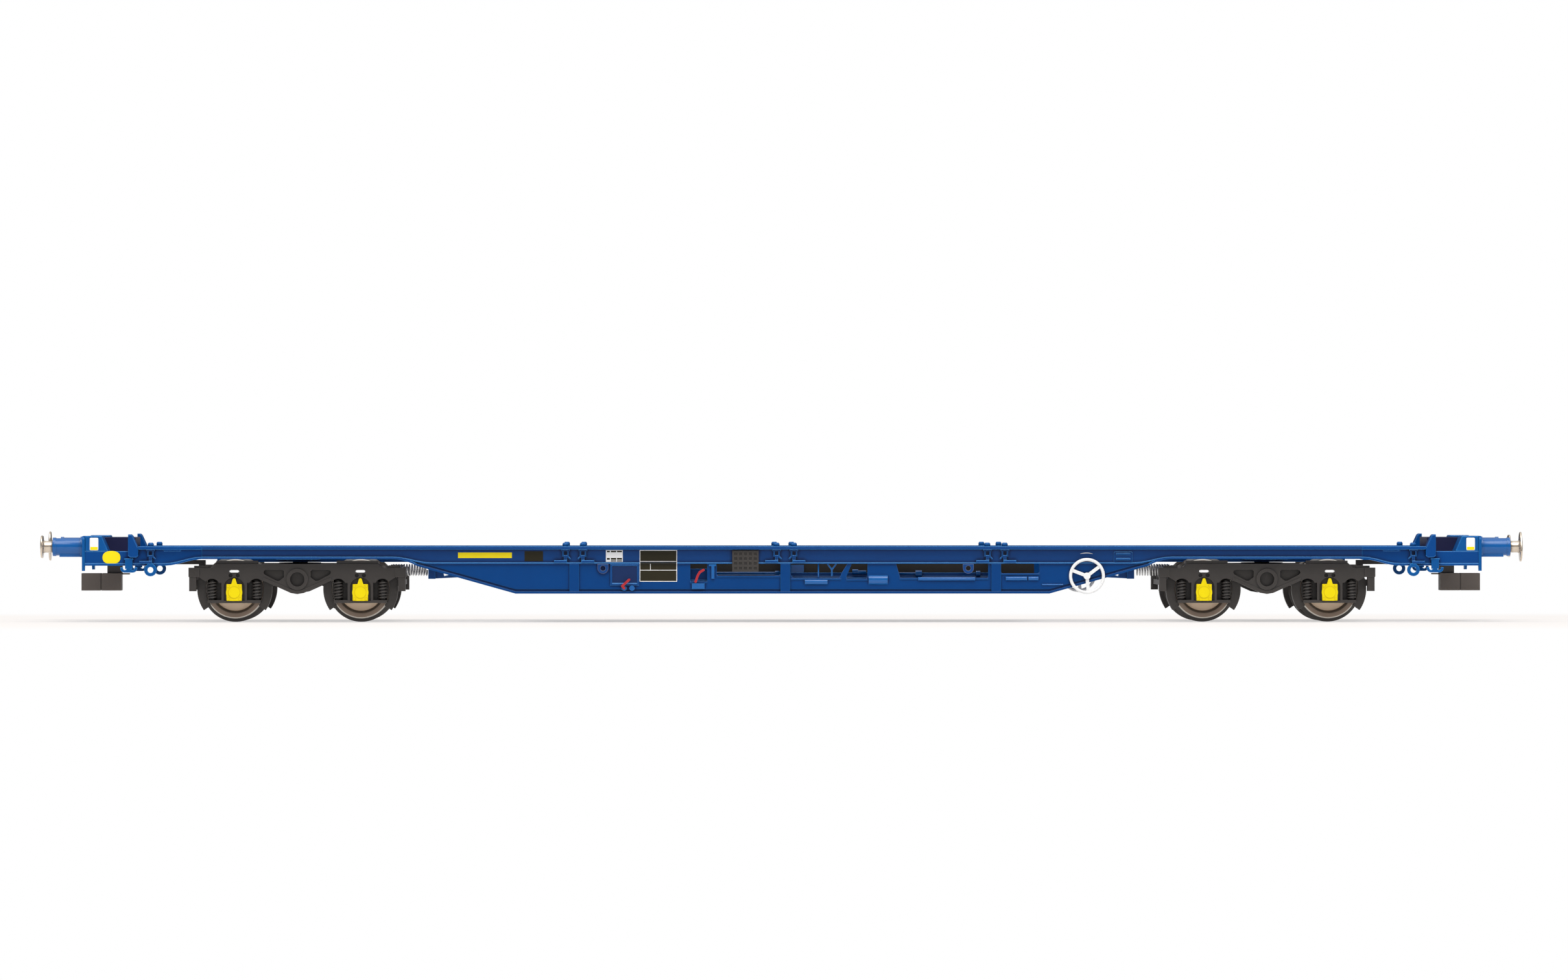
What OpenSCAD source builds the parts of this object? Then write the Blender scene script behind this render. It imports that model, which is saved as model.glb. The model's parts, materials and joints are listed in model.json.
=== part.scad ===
// Bogie container flat wagon, a small-scale model of about 1:76, in millimetres.
// X runs along the wagon, -Y is the near side, Z = 0 is where the wheel flanges stand.

/* [Body] */
// Distance between the bogie pivots
pivot_gap = 184; // [176:0.5:200]
// From a bogie pivot out to the headstock
overhang = 40.7; // [39.7:0.1:44]
// Width over the top flanges
body_w = 33.5; // [32.6:0.1:37]
// Height of the deck above the girder's underside over the bogies
deck_h = 2.4; // [2.3:0.05:2.9]
// Height of that underside above the bogie frames
bogie_gap = 0.95; // [0.9:0.05:1.4]
// Depth of the buffer gear in front of the headstock
buffer_depth = 8.15; // [7.6:0.05:9]

/* [Side girder] */
// Depth of the fishbelly under the deck
belly_drop = 8.95; // [8.2:0.05:9.5]
// Length of the fishbelly's slope
belly_run = 18.7; // [16:0.1:22]
// Thickness of the web
web_t = 0.8; // [0.6:0.05:1.1]
// Overhang of the deck flange past the web
flange_over = 1.15; // [1.05:0.05:1.3]
// Thickness of the deck flange
deck_t = 0.55; // [0.42:0.01:0.65]
// Thickness of the lower flange
flange_t = 0.42; // [0.3:0.01:0.5]
// Inward reach of the flanges behind the web
flange_in = 1.2; // [0.8:0.05:1.5]
// Depth of the ledge between the upper and the lower web, under the deck
ledge_drop = 3.07; // [2.9:0.01:3.2]
// How much the lower web stands proud of the upper one
proud = 0.15; // [0.1:0.01:0.2]
// How far the ledge and the lower flange stand out from the lower web
lip_over = 0.3; // [0.2:0.01:0.35]

/* [Container spigots] */
// From the headstock in to the end spigots
spigot_end = 13; // [12.4:0.1:13.6]
// From the deck's edge in to the spigots
spigot_in = 1.925; // [1.8:0.025:2.1]
// Distance of the side pairs from mid-length, for pivots 184 apart
spigot_pair = 40; // [38.5:0.1:41]
// Height of a spigot above the deck
spigot_h = 0.72; // [0.7:0.01:0.9]
// Width of a spigot
spigot_w = 1.17; // [0.9:0.01:1.3]

/* [Buffers] */
// How far the buffer centres lie under the deck
buffer_low = 0.1; // [0:0.05:0.4]
// Distance of a buffer from the centreline
buffer_y = 11.35; // [10.5:0.05:12.5]
// Radius of the buffer housing
housing_r = 1.65; // [1.4:0.05:1.8]
// Length of the buffer housing
housing_len = 5.75; // [5.2:0.05:6]
// Radius of the buffer shank
shank_r = 1.1; // [0.8:0.05:1.2]
// Width of the oval buffer head
head_w = 5.6; // [5:0.05:6]
// Height of the oval buffer head
head_h = 4.3; // [4:0.05:4.6]
// Thickness of the buffer head
head_t = 0.75; // [0.5:0.05:0.9]

/* [Bogies] */
// Distance between a bogie's axles
wheelbase = 23.9; // [23.5:0.1:26]
// From a wheel's face out to the side frame
frame_clear = 2.05; // [1.9:0.05:2.3]
// Thickness of a side frame
frame_t = 2; // [1.8:0.05:2.2]
// Height of the side frame's top above the axles
frame_rise = 4.75; // [4.6:0.05:5.2]
// From an axle out to the end of the side frame
frame_over = 8.65; // [8.5:0.05:9.4]
// Depth of the pockets in a side frame
pocket_d = 1; // [0.6:0.05:1.1]
// Radius of the pivot screw's shank
pivot_r = 1.45; // [1.2:0.05:1.6]

/* [Wheels] */
// Radius over the flange
flange_r = 6.3; // [6.2:0.02:6.4]
// Radius of the tread
tread_r = 5.6; // [5.4:0.02:5.7]
// Distance between the backs of the wheels
back_gap = 14.5; // [14.3:0.05:14.7]
// Width of a wheel
wheel_w = 2.9; // [2.6:0.05:3]
// Radius of the axle
axle_r = 1; // [0.8:0.05:1.2]
// Radius of the axle's journal in the side frame
journal_r = 0.6; // [0.5:0.02:0.7]

/* [Fits] */
// Running clearance of a turning fit, on the radius
run_c = 0.05; // [0.03:0.01:0.08]
// Clearance between faces that slide past each other
face_c = 0.1; // [0.05:0.01:0.2]
// Clearance of a wheel on its axle, on the radius
seat_c = 0.02; // [0.01:0.005:0.04]

/* [Hidden] */
$fn = 48;

blue = [0.07, 0.29, 0.54];
black = [0.2, 0.19, 0.18];
yellow = [0.99, 0.88, 0];
red = [0.86, 0.2, 0.22];
silver = [0.75, 0.75, 0.77];
bronze = [0.5, 0.42, 0.36];

// Heights, all from the axles up
axle_z = flange_r;
frame_top = axle_z + frame_rise;       // top of the bogie frames
soffit_z = frame_top + bogie_gap;      // girder's underside over the bogies
deck_z = soffit_z + deck_h;
under_z = deck_z - deck_t;             // underside of the deck flange
ledge_z = deck_z - ledge_drop;
lip_bot = ledge_z - flange_t / 2;      // underside of the ledge, where the belly plate meets the beam
belly_z = deck_z - belly_drop;         // lowest edge of the fishbelly
end_top = deck_z - 0.9;                // low top of the girder past the guides
end_bot = end_top - 2.75;              // underside of the girder's end
buffer_z = deck_z - buffer_low;
function at_h(f) = belly_z + f * (lip_bot - belly_z);  // a height on the belly plate, 0 to 1

// Places along the wagon, from mid-length
axle_x = wheelbase / 2;                // from the pivot
frame_half = axle_x + frame_over;      // from the pivot
pivot_x = pivot_gap / 2;
head_x = pivot_x + overhang;           // outer face of the headstock
end_run = overhang - frame_half;       // free length past a bogie frame
function e(x) = x * end_run / 20.1;    // places drawn for that free length
head_t_x = 0.55;                       // thickness of the headstock plate
head_in = head_x - head_t_x;
face_x = head_x + buffer_depth;        // buffer faces
spigot_x = head_x - e(spigot_end);     // end spigots
guide_x = spigot_x + e(2.3);           // inner edge of the container guides' foot
guide_w = e(1.9);
slope_x = pivot_x - frame_half + 2.4;  // where the girder's underside is level over a bogie
knee_run = 4.5;                        // length of the curve up to it
knee_h = 1.3;                          // height of that curve
knee_x = slope_x - knee_run;
belly_half = knee_x - belly_run;       // half length of the belly's level part
drop = guide_x - e(5);                 // where the girder's end has dropped
turn = drop - e(7);                    // where it starts to drop
ledge_x = slope_x - 7.2;               // where the ledge turns up towards the knee
function u(x) = x * belly_half / 50.6; // places drawn for a belly of this half length
pair_x = u(spigot_pair);
pair_off = u(0.5);                     // the side pairs and their ribs lie this far off mid-length
pairs = [-pair_x, 0, pair_x];

// Distances from the centreline
half_w = body_w / 2;
web_out = half_w - flange_over;        // outer face of the upper web
web_in = web_out - web_t;              // inner face of the web
low_out = web_out + proud;             // outer face of the lower web
lip_out = low_out + lip_over;          // outer edge of the ledge and the lower flange
spigot_y = half_w - spigot_in;
frame_in = back_gap / 2 + wheel_w + frame_clear;
frame_out = frame_in + frame_t;

// Copies at both ends, on both sides, and on all four corners
module ends() { children(); mirror([1, 0, 0]) children(); }
module sides() { children(); mirror([0, 1, 0]) children(); }
module corners() { ends() sides() children(); }
// A drawing in X and Z, made solid between two distances from the centreline on the near side
module slab(y0, y1) { translate([0, -y0, 0]) rotate([90, 0, 0]) linear_extrude(y1 - y0) children(); }
// A rectangle between two corners
module rect(x0, z0, x1, z1) { translate([x0, z0]) square([x1 - x0, z1 - z0]); }
// A rectangle with round corners
module round_rect(x0, z0, x1, z1, r) {
    rect(x0, z0 + r, x1, z1 - r);
    rect(x0 + r, z0, x1 - r, z1);
    for (x = [x0 + r, x1 - r], z = [z0 + r, z1 - r]) translate([x, z]) circle(r, $fn = 24);
}
// A block between two corners
module block(a, b) { translate(a) cube(b - a); }
// A rod along Y between two distances from the centreline on the near side
module rod_y(x, z, r, y0, y1) { slab(y0, y1) translate([x, z]) circle(r); }
// A rod along X
module rod_x(x0, x1, y, z, r) { translate([x0, y, z]) rotate([0, 90, 0]) cylinder(r = r, h = x1 - x0); }
// A flat bar through a few points
module bar(p, w) {
    for (i = [0 : len(p) - 2]) let (d = p[i + 1] - p[i], a = atan2(d[1], d[0]))
        translate(p[i]) rotate(a) translate([0, -w / 2]) square([norm(d), w]);
    for (q = p) translate(q) circle(w / 2, $fn = 20);
}
// A drawing in Y and Z, made solid between two places along X
module cross_plate(x0, x1) { translate([x0, 0, 0]) rotate([90, 0, 90]) linear_extrude(x1 - x0) children(); }

// The girder's underside along half its length, as corner points from mid-length outwards
s_curve = [for (i = [0 : 6]) let (t = i / 6)
    [turn + (drop - turn) * t, soffit_z - (soffit_z - end_bot) * t * t * (3 - 2 * t)]];
knee = [for (i = [0 : 5]) let (t = i / 5)
    [slope_x - knee_run * (1 - t), soffit_z - knee_h * (1 - t) * (1 - t)]];
under = concat([[belly_half, belly_z]], knee, s_curve, [[head_in, end_bot]]);
// The ledge runs level, then up to the lower flange over the bogies
rise_z = soffit_z + flange_t;
ledge = concat([[0, ledge_z]], [for (i = [0 : 6]) let (t = i / 6)
    [ledge_x + (slope_x - ledge_x) * t, ledge_z + (rise_z - ledge_z) * t * t * (3 - 2 * t)]]);
function flip(p) = [for (i = [len(p) - 1 : -1 : 0]) [-p[i][0], p[i][1]]];
function lift(p, h) = [for (q = p) [q[0], q[1] + h]];
function back(p) = [for (i = [len(p) - 1 : -1 : 0]) p[i]];
function slope_z(x) = belly_z + (x - belly_half) / belly_run * (soffit_z - knee_h - belly_z);

// Outline of the whole girder
module girder_outline() {
    polygon(concat(flip(under), under,
        [[head_in, end_top], [guide_x, end_top], [guide_x, under_z], [-guide_x, under_z],
         [-guide_x, end_top], [-head_in, end_top]]));
}
// The strip along its lower edge
module lower_flange(h) {
    polygon(concat(flip(under), under, lift(back(under), h), lift(back(flip(under)), h)));
}
// Everything below the ledge, and the ledge itself
module below_ledge() { ends() polygon(concat([[0, 0], [slope_x, 0]], back(ledge))); }
module ledge_strip() { ends() polygon(concat(lift(ledge, lip_bot - ledge_z), back(ledge))); }

// Openings in the lower web: left, right, lower edge, corner radius, lean of the left and the right end
openings = [
    [u(-17.5), u(-14.3), 0.4, 0.3, 0, 0], [u(-12.5), u(-0.4), 0.6, 0.4, 0, 0],
    [u(1.56), u(11.1), 0.51, 0.9, 0, u(1.2)], [u(12.1), u(16.1), 0.485, 0.5, u(1), 0],
    [u(22.2), pair_x - 1, 0.52, 0.4, u(-0.7), 0], [pair_x + 1.4, pair_x + 8.7, 0.68, 0.4, 0, 0]];
module opening(o) {
    r = o[3];
    z = at_h(o[2]);
    polygon([[o[0] + r, z], [o[1] - r, z], [o[1], z + r], [o[1] + o[5], lip_bot], [o[0] + o[4], lip_bot],
        [o[0], z + r]]);
    for (x = [o[0] + r, o[1] - r]) translate([x, z + r]) circle(r, $fn = 24);
}
// Where the handbrake shaft goes through
wheel_x = pivot_x - frame_half - 13.7;
wheel_z = slope_z(wheel_x) + 1.35;
shaft_r = 0.5;
// Ribs on the lower web, and the groove over its lower flange
rib_w = 1.8;
rib_t = 0.25;
groove = 0.42;
sill_t = 0.12;                         // how far the sills under the openings stand out
module girder() {
    difference() {
        union() {
            slab(web_in, web_out) girder_outline();
            slab(web_out, low_out) difference() {
                intersection() {
                    girder_outline();
                    below_ledge();
                }
                lower_flange(flange_t + groove);
            }
            slab(web_out, lip_out) ledge_strip();
            slab(web_in - flange_in, half_w) rect(-guide_x, under_z, guide_x, deck_z);
            slab(web_in - flange_in, low_out) lower_flange(flange_t);
            slab(low_out, lip_out) intersection() {
                lower_flange(flange_t);
                rect(-drop, 0, drop, deck_z);
            }
            ends() slab(web_in - flange_in, web_out) rect(guide_x, end_top - flange_t, head_in, end_top);
            for (p = pairs) let (x = p + pair_off) slab(web_out, low_out + rib_t)
                rect(x - rib_w / 2, belly_z + flange_t / 2, x + rib_w / 2, lip_bot + flange_t / 4);
            // sills under the openings
            for (o = openings) if (o[2] > 0.3) slab(low_out, low_out + sill_t)
                rect(o[0], at_h(o[2]) - 0.3, o[1], at_h(o[2]));
        }
        slab(web_in - 1, low_out + rib_t + 1) {
            for (o = openings) opening(o);
            translate([wheel_x, wheel_z]) circle(shaft_r + run_c);
        }
        // slits under the deck flange near the ends
        ends() slab(web_in - 1, web_out + 1) rect(drop - e(3), under_z - 0.27, drop + e(0.2), under_z);
    }
}
// The girder is a straight beam, a belly plate under it and two cranked ends
module beam() {
    intersection() {
        girder();
        block([-turn, -half_w, lip_bot], [turn, 0, deck_z]);
    }
}
module belly() {
    intersection() {
        girder();
        block([-turn, -half_w, 0], [turn, 0, lip_bot]);
    }
}
module crank() {
    intersection() {
        girder();
        block([turn, -half_w, 0], [head_in, 0, deck_z]);
    }
}
module girder_near() { color(blue) beam(); }
module girder_far() { color(blue) mirror([0, 1, 0]) beam(); }
module belly_near() { color(blue) belly(); }
module belly_far() { color(blue) mirror([0, 1, 0]) belly(); }
module girder_ends() { color(blue) corners() crank(); }

// Underframe between the girders
sill_half = 4;                         // half width of the centre sill
sill_wall = 0.8;
sill_bot = soffit_z + flange_t;        // underside of the sill and of the short bearers
deep_bot = deck_z - 2.9;               // underside of the deep bearers over the ballast
bearer_t = 1;
box_in = guide_x + e(1);                 // inner face of the raised end boxes
box_len = e(6.2);
box_top = deck_z + 1.7;
ear_in = buffer_y - 2.45;              // inner edge of the headstock's ears
box_half = ear_in - 0.9;
module centre_sill() {
    color(blue) difference() {
        block([-box_in, -sill_half, sill_bot], [box_in, sill_half, under_z]);
        block([-box_in + sill_wall, -sill_half + sill_wall, sill_bot + sill_wall],
              [box_in - sill_wall, sill_half - sill_wall, deck_z]);
    }
}
// A cross bearer from the sill to a girder, with a lightening hole
module bearer(x, z0) {
    difference() {
        block([x - bearer_t / 2, -web_in, z0], [x + bearer_t / 2, -sill_half, under_z]);
        translate([x, -(web_in + sill_half) / 2, (z0 + under_z) / 2]) rotate([0, 90, 0])
            cylinder(r = 0.4, h = 3, center = true);
    }
}
deep_x = [pair_x / 2, pair_x, pair_x * 1.5];
short_x = [pivot_x - axle_x - 4.85, pivot_x - 2.5, pivot_x + 2.5, pivot_x + axle_x + 4.85, spigot_x];
module cross_bearers() {
    color(blue) corners() {
        for (x = deep_x) bearer(x, deep_bot);
        for (x = short_x) bearer(x, sill_bot);
    }
    color(blue) sides() bearer(0, deep_bot);
}
// Bolsters under the sill: a keel between the wheels, arms to the girders, and the pivot's bore
bolster_half = 4;
keel_half = 3.2;
boss_r = pivot_r + 2.55;
boss_bot = frame_top + 0.3;
keel_in = frame_half + 0.5;            // the keel's ends, from the pivot
keel_out = frame_half - 4.9;
module bolster() {
    difference() {
        union() {
            block([-bolster_half, -web_in + flange_in, soffit_z - 0.1],
                [bolster_half, web_in - flange_in, sill_bot]);
            block([-keel_in, -keel_half, boss_bot], [keel_out, keel_half, sill_bot]);
            translate([0, 0, boss_bot]) cylinder(r = boss_r, h = sill_bot - boss_bot);
        }
        translate([0, 0, boss_bot - 1]) cylinder(r = pivot_r + run_c, h = 4);
    }
}
module bolsters() { color(blue) ends() translate([pivot_x, 0, 0]) bolster(); }
transom_bot = axle_z + 1.3;
screw_r = pivot_r + 1.05;
module pivot_screw() {
    translate([0, 0, transom_bot - face_c]) cylinder(r = pivot_r, h = sill_bot - transom_bot);
    translate([0, 0, transom_bot - face_c - 0.7]) difference() {
        cylinder(r = screw_r, h = 0.7);
        block([-screw_r - 1, -0.25, -0.1], [screw_r + 1, 0.25, 0.3]);
    }
}
module pivot_screws() { color(silver) ends() translate([pivot_x, 0, 0]) pivot_screw(); }

// Headstocks with ears behind the buffers and a slanted tip under each corner
ear_top = deck_z + 2;
head_bot = end_bot - 1;
module headstocks() {
    color(blue) ends() cross_plate(head_in, head_x) {
        rect(-low_out, end_bot, low_out, end_top);
        ends() {
            polygon([[ear_in, end_top - 0.5], [low_out, end_top - 0.5], [low_out, ear_top - 0.5],
                     [low_out - 0.5, ear_top], [ear_in + 0.8, ear_top], [ear_in, ear_top - 0.8]]);
            polygon([[low_out, end_bot + 0.5], [low_out, head_bot], [low_out - 1.2, head_bot],
                     [low_out - 2.2, end_bot + 0.5]]);
        }
    }
}
// Knees behind the ears
module corner_blocks() {
    color(blue) corners() slab(ear_in, web_out)
        polygon([[head_in, end_top], [head_in, ear_top], [head_in - e(3.2), ear_top],
            [head_in - e(4.45), end_top]]);
}
module end_boxes() {
    color(blue * 0.6) ends() difference() {
        block([box_in, -box_half, sill_bot], [box_in + box_len, box_half, box_top]);
        block([box_in + 0.6, -box_half + 0.6, sill_bot + 0.6],
            [box_in + box_len - 0.6, box_half - 0.6, box_top + 1]);
    }
}
// Horns that guide a container on to the deck: upright outside, sloped inside
guide_top = deck_z + 2.3;
guide_foot = deck_z - 2.1;
horn = [[guide_x, deck_z - 0.2], [guide_x + guide_w * 0.1, deck_z + 0.2],
    [guide_x + guide_w * 0.55, guide_top - 0.25],
        [guide_x + guide_w * 0.72, guide_top]];
module container_guides() {
    color(blue) corners() {
        slab(web_out, half_w)
            polygon([[guide_x, guide_foot + 0.3], [guide_x + 0.4, guide_foot],
                [guide_x + guide_w - 0.4, guide_foot],
                     [guide_x + guide_w, guide_foot + 0.3], [guide_x + guide_w, end_top],
                         [guide_x, end_top]]);
        slab(web_in - flange_in, half_w) polygon(concat([[guide_x, end_top]], horn,
            [[guide_x + guide_w, guide_top], [guide_x + guide_w, end_top]]));
    }
}

// Container spigots stand in pairs, each over a bracket on the girder
pair_half = 1.65;
module spigot(x) {
    translate([x, -spigot_y, deck_z]) {
        cylinder(r = spigot_w / 2, h = spigot_h * 0.66);
        translate([0, 0, spigot_h * 0.66])
            cylinder(r1 = spigot_w / 2, r2 = spigot_w / 3, h = spigot_h * 0.34);
    }
}
// s is the side to which the bracket's foot reaches, z0 what the foot stands on, k the foot's scale
module spigot_bracket(x, s, z0, k) {
    slab(web_out, lip_out) {
        rect(x - 0.82, under_z - 0.33, x + 0.82, under_z);
        for (i = [-1, 1]) rect(x + i * 0.48 - 0.14, under_z - 1.35, x + i * 0.48 + 0.14, under_z - 0.2);
        rect(x - 0.62, under_z - 1.35, x + 0.62, under_z - 1.1);
        rect(x - 0.3, z0, x + 0.3, under_z - 1.2);
        bar([[x - s * 0.4, under_z - 1.3], [x - s * 0.85, under_z - 1.75]], 0.28);
    }
    slab(web_out, lip_out + 0.25) rect(x + s * k * 0.95 - k * 1.2, z0, x + s * k * 0.95 + k * 1.2, z0 + 0.48);
}
module spigots() {
    color(blue) {
        corners() spigot(spigot_x);
        sides() for (p = pairs, s = [-1, 1]) spigot(p + pair_off + s * pair_half);
    }
}
module spigot_brackets() {
    color(blue) {
        corners() spigot_bracket(spigot_x, 1, end_bot + flange_t, e(1));
        sides() for (p = pairs, s = [-1, 1]) spigot_bracket(p + pair_off + s * pair_half, s, ledge_z, 1);
    }
}

// Buffers, drawn on the near side of the right-hand end
plate_z = buffer_z - housing_r - 0.25;
shank_in = housing_len - 2.75;         // how deep a shank sits in its housing
module buffer_housings() {
    color(blue) corners() difference() {
        union() {
            rod_x(head_x, head_x + housing_len, -buffer_y, buffer_z, housing_r);
            rod_x(head_x, head_x + 0.5, -buffer_y, buffer_z, housing_r + 0.3);
            rod_x(head_x + housing_len - 0.6, head_x + housing_len, -buffer_y, buffer_z, housing_r + 0.12);
            block([head_x, -buffer_y - 1.1, plate_z],
                [head_x + housing_len - 1.3, -buffer_y + 1.1, buffer_z]);
        }
        rod_x(head_x + housing_len - shank_in - face_c, head_x + housing_len + 1, -buffer_y, buffer_z, shank_r + seat_c);
    }
}
// The oval heads turn in their housings: end, side and angle of each
head_turns = [[0, 0, 65], [1, 0, 0], [0, 1, 0], [1, 1, 90]];
module buffer_heads() {
    color(silver) for (h = head_turns) mirror([h[0], 0, 0]) mirror([0, h[1], 0]) {
        rod_x(head_x + housing_len - shank_in, face_x - head_t / 2, -buffer_y, buffer_z, shank_r);
        translate([0, -buffer_y, buffer_z]) cross_plate(face_x - head_t, face_x) rotate(h[2]) intersection() {
            circle(head_w / 2);
            square([head_w, head_h], center = true);
        }
    }
}

// Rope hooks and tie rings on the girders' ends
hook_t = 0.6;
hook_x = guide_x + guide_w - 0.1;
hook_z = end_bot - 0.6;
module rope_hook_outline(x) {
    rect(x - 0.7, hook_z, x + 0.7, hook_z + 2);
    rect(x - 0.85, hook_z + 1.75, x + 0.85, hook_z + 2);
    for (s = [-1, 1]) translate([x + s * 0.75, hook_z + 0.15]) difference() {
        circle(0.85, $fn = 32);
        circle(0.35, $fn = 32);
        rect(-1, 0.15, 1, 1);
    }
    rect(x - 0.75, hook_z - 0.7, x + 0.75, hook_z - 0.2);
}
module rope_hooks() {
    color(blue) corners() {
        slab(low_out, low_out + hook_t) rope_hook_outline(hook_x);
        slab(web_out, low_out) rect(hook_x - 0.7, end_bot + flange_t, hook_x + 0.7, hook_z + 2);
    }
}
ring_r = e(1.2);
ring_z = end_bot + flange_t - 0.02 - ring_r;
module tie_rings() {
    color(blue) corners() slab(low_out, low_out + 0.5) difference() {
        union() {
            translate([spigot_x, ring_z]) circle(ring_r);
            rect(spigot_x - 0.6, end_bot - 0.2, spigot_x + 0.6, end_bot + flange_t);
        }
        translate([spigot_x, ring_z]) circle(ring_r * 0.46);
    }
}
eye_x = [-pair_x + 5.95, pair_x - 4.8];
eye_z = lip_bot - 0.85;
eye_r = 1.05;
module lashing_eyes() {
    color(blue) sides() for (x = eye_x) slab(low_out, low_out + 0.45) difference() {
        union() {
            translate([x, eye_z]) circle(eye_r);
            rect(x - eye_r, eye_z, x + eye_r, lip_bot);
        }
        translate([x, eye_z]) circle(eye_r * 0.43);
        rect(x - eye_r - 1, lip_bot, x + eye_r + 1, lip_bot + eye_r);
    }
}
// A plate with two treads
step_x = ledge_x - 2;
module step_plates() {
    z0 = ledge_z;
    z1 = under_z - 0.4;
    color(blue) sides() {
        slab(web_out, web_out + 0.12) round_rect(step_x - 1.8, z0, step_x + 1.8, z1, 0.35);
        slab(web_out + 0.12, web_out + 0.3) for (f = [0.22, 0.68])
            round_rect(step_x - 1.35, z0 + (z1 - z0) * f, step_x + 1.35, z0 + (z1 - z0) * f + 0.35, 0.15);
    }
}

// Access panel with its valves and red levers
panel = [u(-32.7), belly_z + 1.55, u(-27.2), lip_bot];
module access_panels() {
    color(blue) sides() {
        slab(low_out, low_out + 0.25) difference() {
            rect(panel[0], panel[1], panel[2], panel[3]);
            rect(panel[0] + 0.4, panel[1] + 0.4, panel[2] - 0.4, panel[3] - 0.4);
        }
        slab(low_out, low_out + 0.1) rect(panel[0] + 0.2, panel[1] + 0.2, panel[2] - 0.2, panel[3] - 0.2);
    }
}
valve_x = [u(-30.05), u(-28.55)];
valve_z = belly_z + flange_t + 0.62;
valve_y = low_out + 0.6;
module panel_valves() {
    color(blue) sides() for (x = valve_x) rod_y(x, valve_z, 0.5, low_out, valve_y);
}
lever_w = 0.45;
recess_lever = [[u(-15), at_h(0.79)], [u(-15.7), at_h(0.72)], [u(-16.1), at_h(0.6)], [u(-16.5), at_h(0.4)]];
module release_levers() {
    color(red) sides() {
        slab(low_out + sill_t, low_out + sill_t + 0.3) bar(recess_lever, lever_w);
        slab(valve_y, valve_y + 0.3)
            bar([[valve_x[0], valve_z], [valve_x[0] - 0.35, valve_z + 0.4],
                [valve_x[0] + 0.95, valve_z + 1.6]], lever_w);
    }
}
// A mesh panel clipped over the ledge
mesh = [u(-9.55), at_h(0.737), u(-4.56), under_z - 0.2];
mesh_cols = 5;
mesh_rows = 4;
mesh_bar = 0.35;
module mesh_clips() {
    w = mesh[2] - mesh[0];
    h = mesh[3] - mesh[1];
    color(black) sides() {
        slab(lip_out, lip_out + 0.12) rect(mesh[0], mesh[1], mesh[2], mesh[3]);
        slab(lip_out, lip_out + 0.3) {
            for (i = [0 : mesh_cols]) translate([mesh[0] + i * (w - mesh_bar) / mesh_cols, mesh[1]])
                square([mesh_bar, h]);
            for (i = [0 : mesh_rows]) translate([mesh[0], mesh[1] + i * (h - mesh_bar) / mesh_rows])
                square([w, mesh_bar]);
        }
        for (x = [mesh[0], mesh[2] - mesh_bar]) slab(web_out, lip_out)
            rect(x, mesh[3] - 0.6, x + mesh_bar, mesh[3]);
    }
}
// Handwheels on a shaft across the wagon
wheel_r = 3.42;
rim_r = 0.3;
wheel_y = lip_out + 0.06 + rim_r;
spokes = [37, 159, 275];
module handwheels() {
    color("white") sides() {
        translate([wheel_x, -wheel_y, wheel_z]) rotate([90, 0, 0]) rotate_extrude()
            translate([wheel_r - rim_r, 0]) circle(rim_r, $fn = 24);
        slab(wheel_y - 0.15, wheel_y + 0.15) for (a = spokes)
            translate([wheel_x, wheel_z]) rotate(a) translate([0, -0.32]) square([wheel_r - rim_r, 0.64]);
        rod_y(wheel_x, wheel_z, 0.65, wheel_y - rim_r, wheel_y + rim_r);
    }
}
module brake_shaft() { color(blue) rod_y(wheel_x, wheel_z, shaft_r, rim_r - wheel_y, wheel_y - rim_r); }

// Ballast under the deep bearers, and the brake gear that it and the webs carry
ballast_half = web_in - 5.8;
ballast_len = pivot_x - frame_half - 23.4;
ballast_bot = belly_z + 2;
module ballast_weight() {
    color(black) block([-ballast_len, -ballast_half, ballast_bot], [ballast_len, ballast_half, deep_bot]);
}
gear_y = web_in - 2.6;
// Rods and drums behind the openings: left, right, height on the belly plate, radius
inner_gear = [
    [u(13.3), u(14.4), 0.72, 0.5], [u(14.4), u(15.9), 0.7, 0.4], [u(22), u(25.3), 0.66, 0.25],
    [u(25.3), u(26.5), 0.64, 0.75], [u(36.8), u(37.6), 0.66, 0.55]];
// The same on the outside of the webs, with how far each stands out and where it starts
outer_gear = [
    [u(4.2), u(8.5), 0.39, 0.5, 0.45, sill_t], [u(16.3), u(19.9), 0.457, 1, 0.5, 0],
    [u(25.7), u(36.5), 0.49, 0.33, 0.4, sill_t],
    [pair_x + 2.3, pair_x + 6.35, 0.505, 0.4, 0.4, 0], [pair_x + 6.6, pair_x + 8.5, 0.505, 0.4, 0.4, 0],
    [pair_x + 9.2, pair_x + 13.2, 0.3, 0.15, 0.2, 0]];
module brake_cylinders() {
    color(blue) sides() {
        for (g = inner_gear) let (m = (g[0] + g[1]) / 2, z = at_h(g[2])) {
            rod_x(g[0], g[1], -gear_y, z, g[3]);
            block([m - 0.4, -gear_y, z - 0.2], [m + 0.4, -ballast_half, z + 0.2]);
        }
        for (g = outer_gear) let (y = low_out + g[4], z = at_h(g[2])) intersection() {
            rod_x(g[0], g[1], g[3] - y, z, g[3]);
            block([g[0], -y, z - g[3]], [g[1], -low_out - g[5], z + g[3]]);
        }
        // a plate and a rod in the third opening
        block([u(1.7), -gear_y, at_h(0.45)], [u(4.1), -ballast_half, at_h(0.95)]);
        translate([u(6.8), -(web_in + web_out) / 2, at_h(0.51)]) cylinder(r = 0.15, h = lip_bot - at_h(0.51));
        // a forked bracket under the ledge
        slab(web_in, web_in + 0.4) for (x = [u(8.6), u(9.35), u(10.1)])
            bar([[x, x == u(9.35) ? at_h(0.6) : lip_bot - 0.15], [u(9.35), at_h(0.8)]], 0.3);
    }
}
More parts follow.
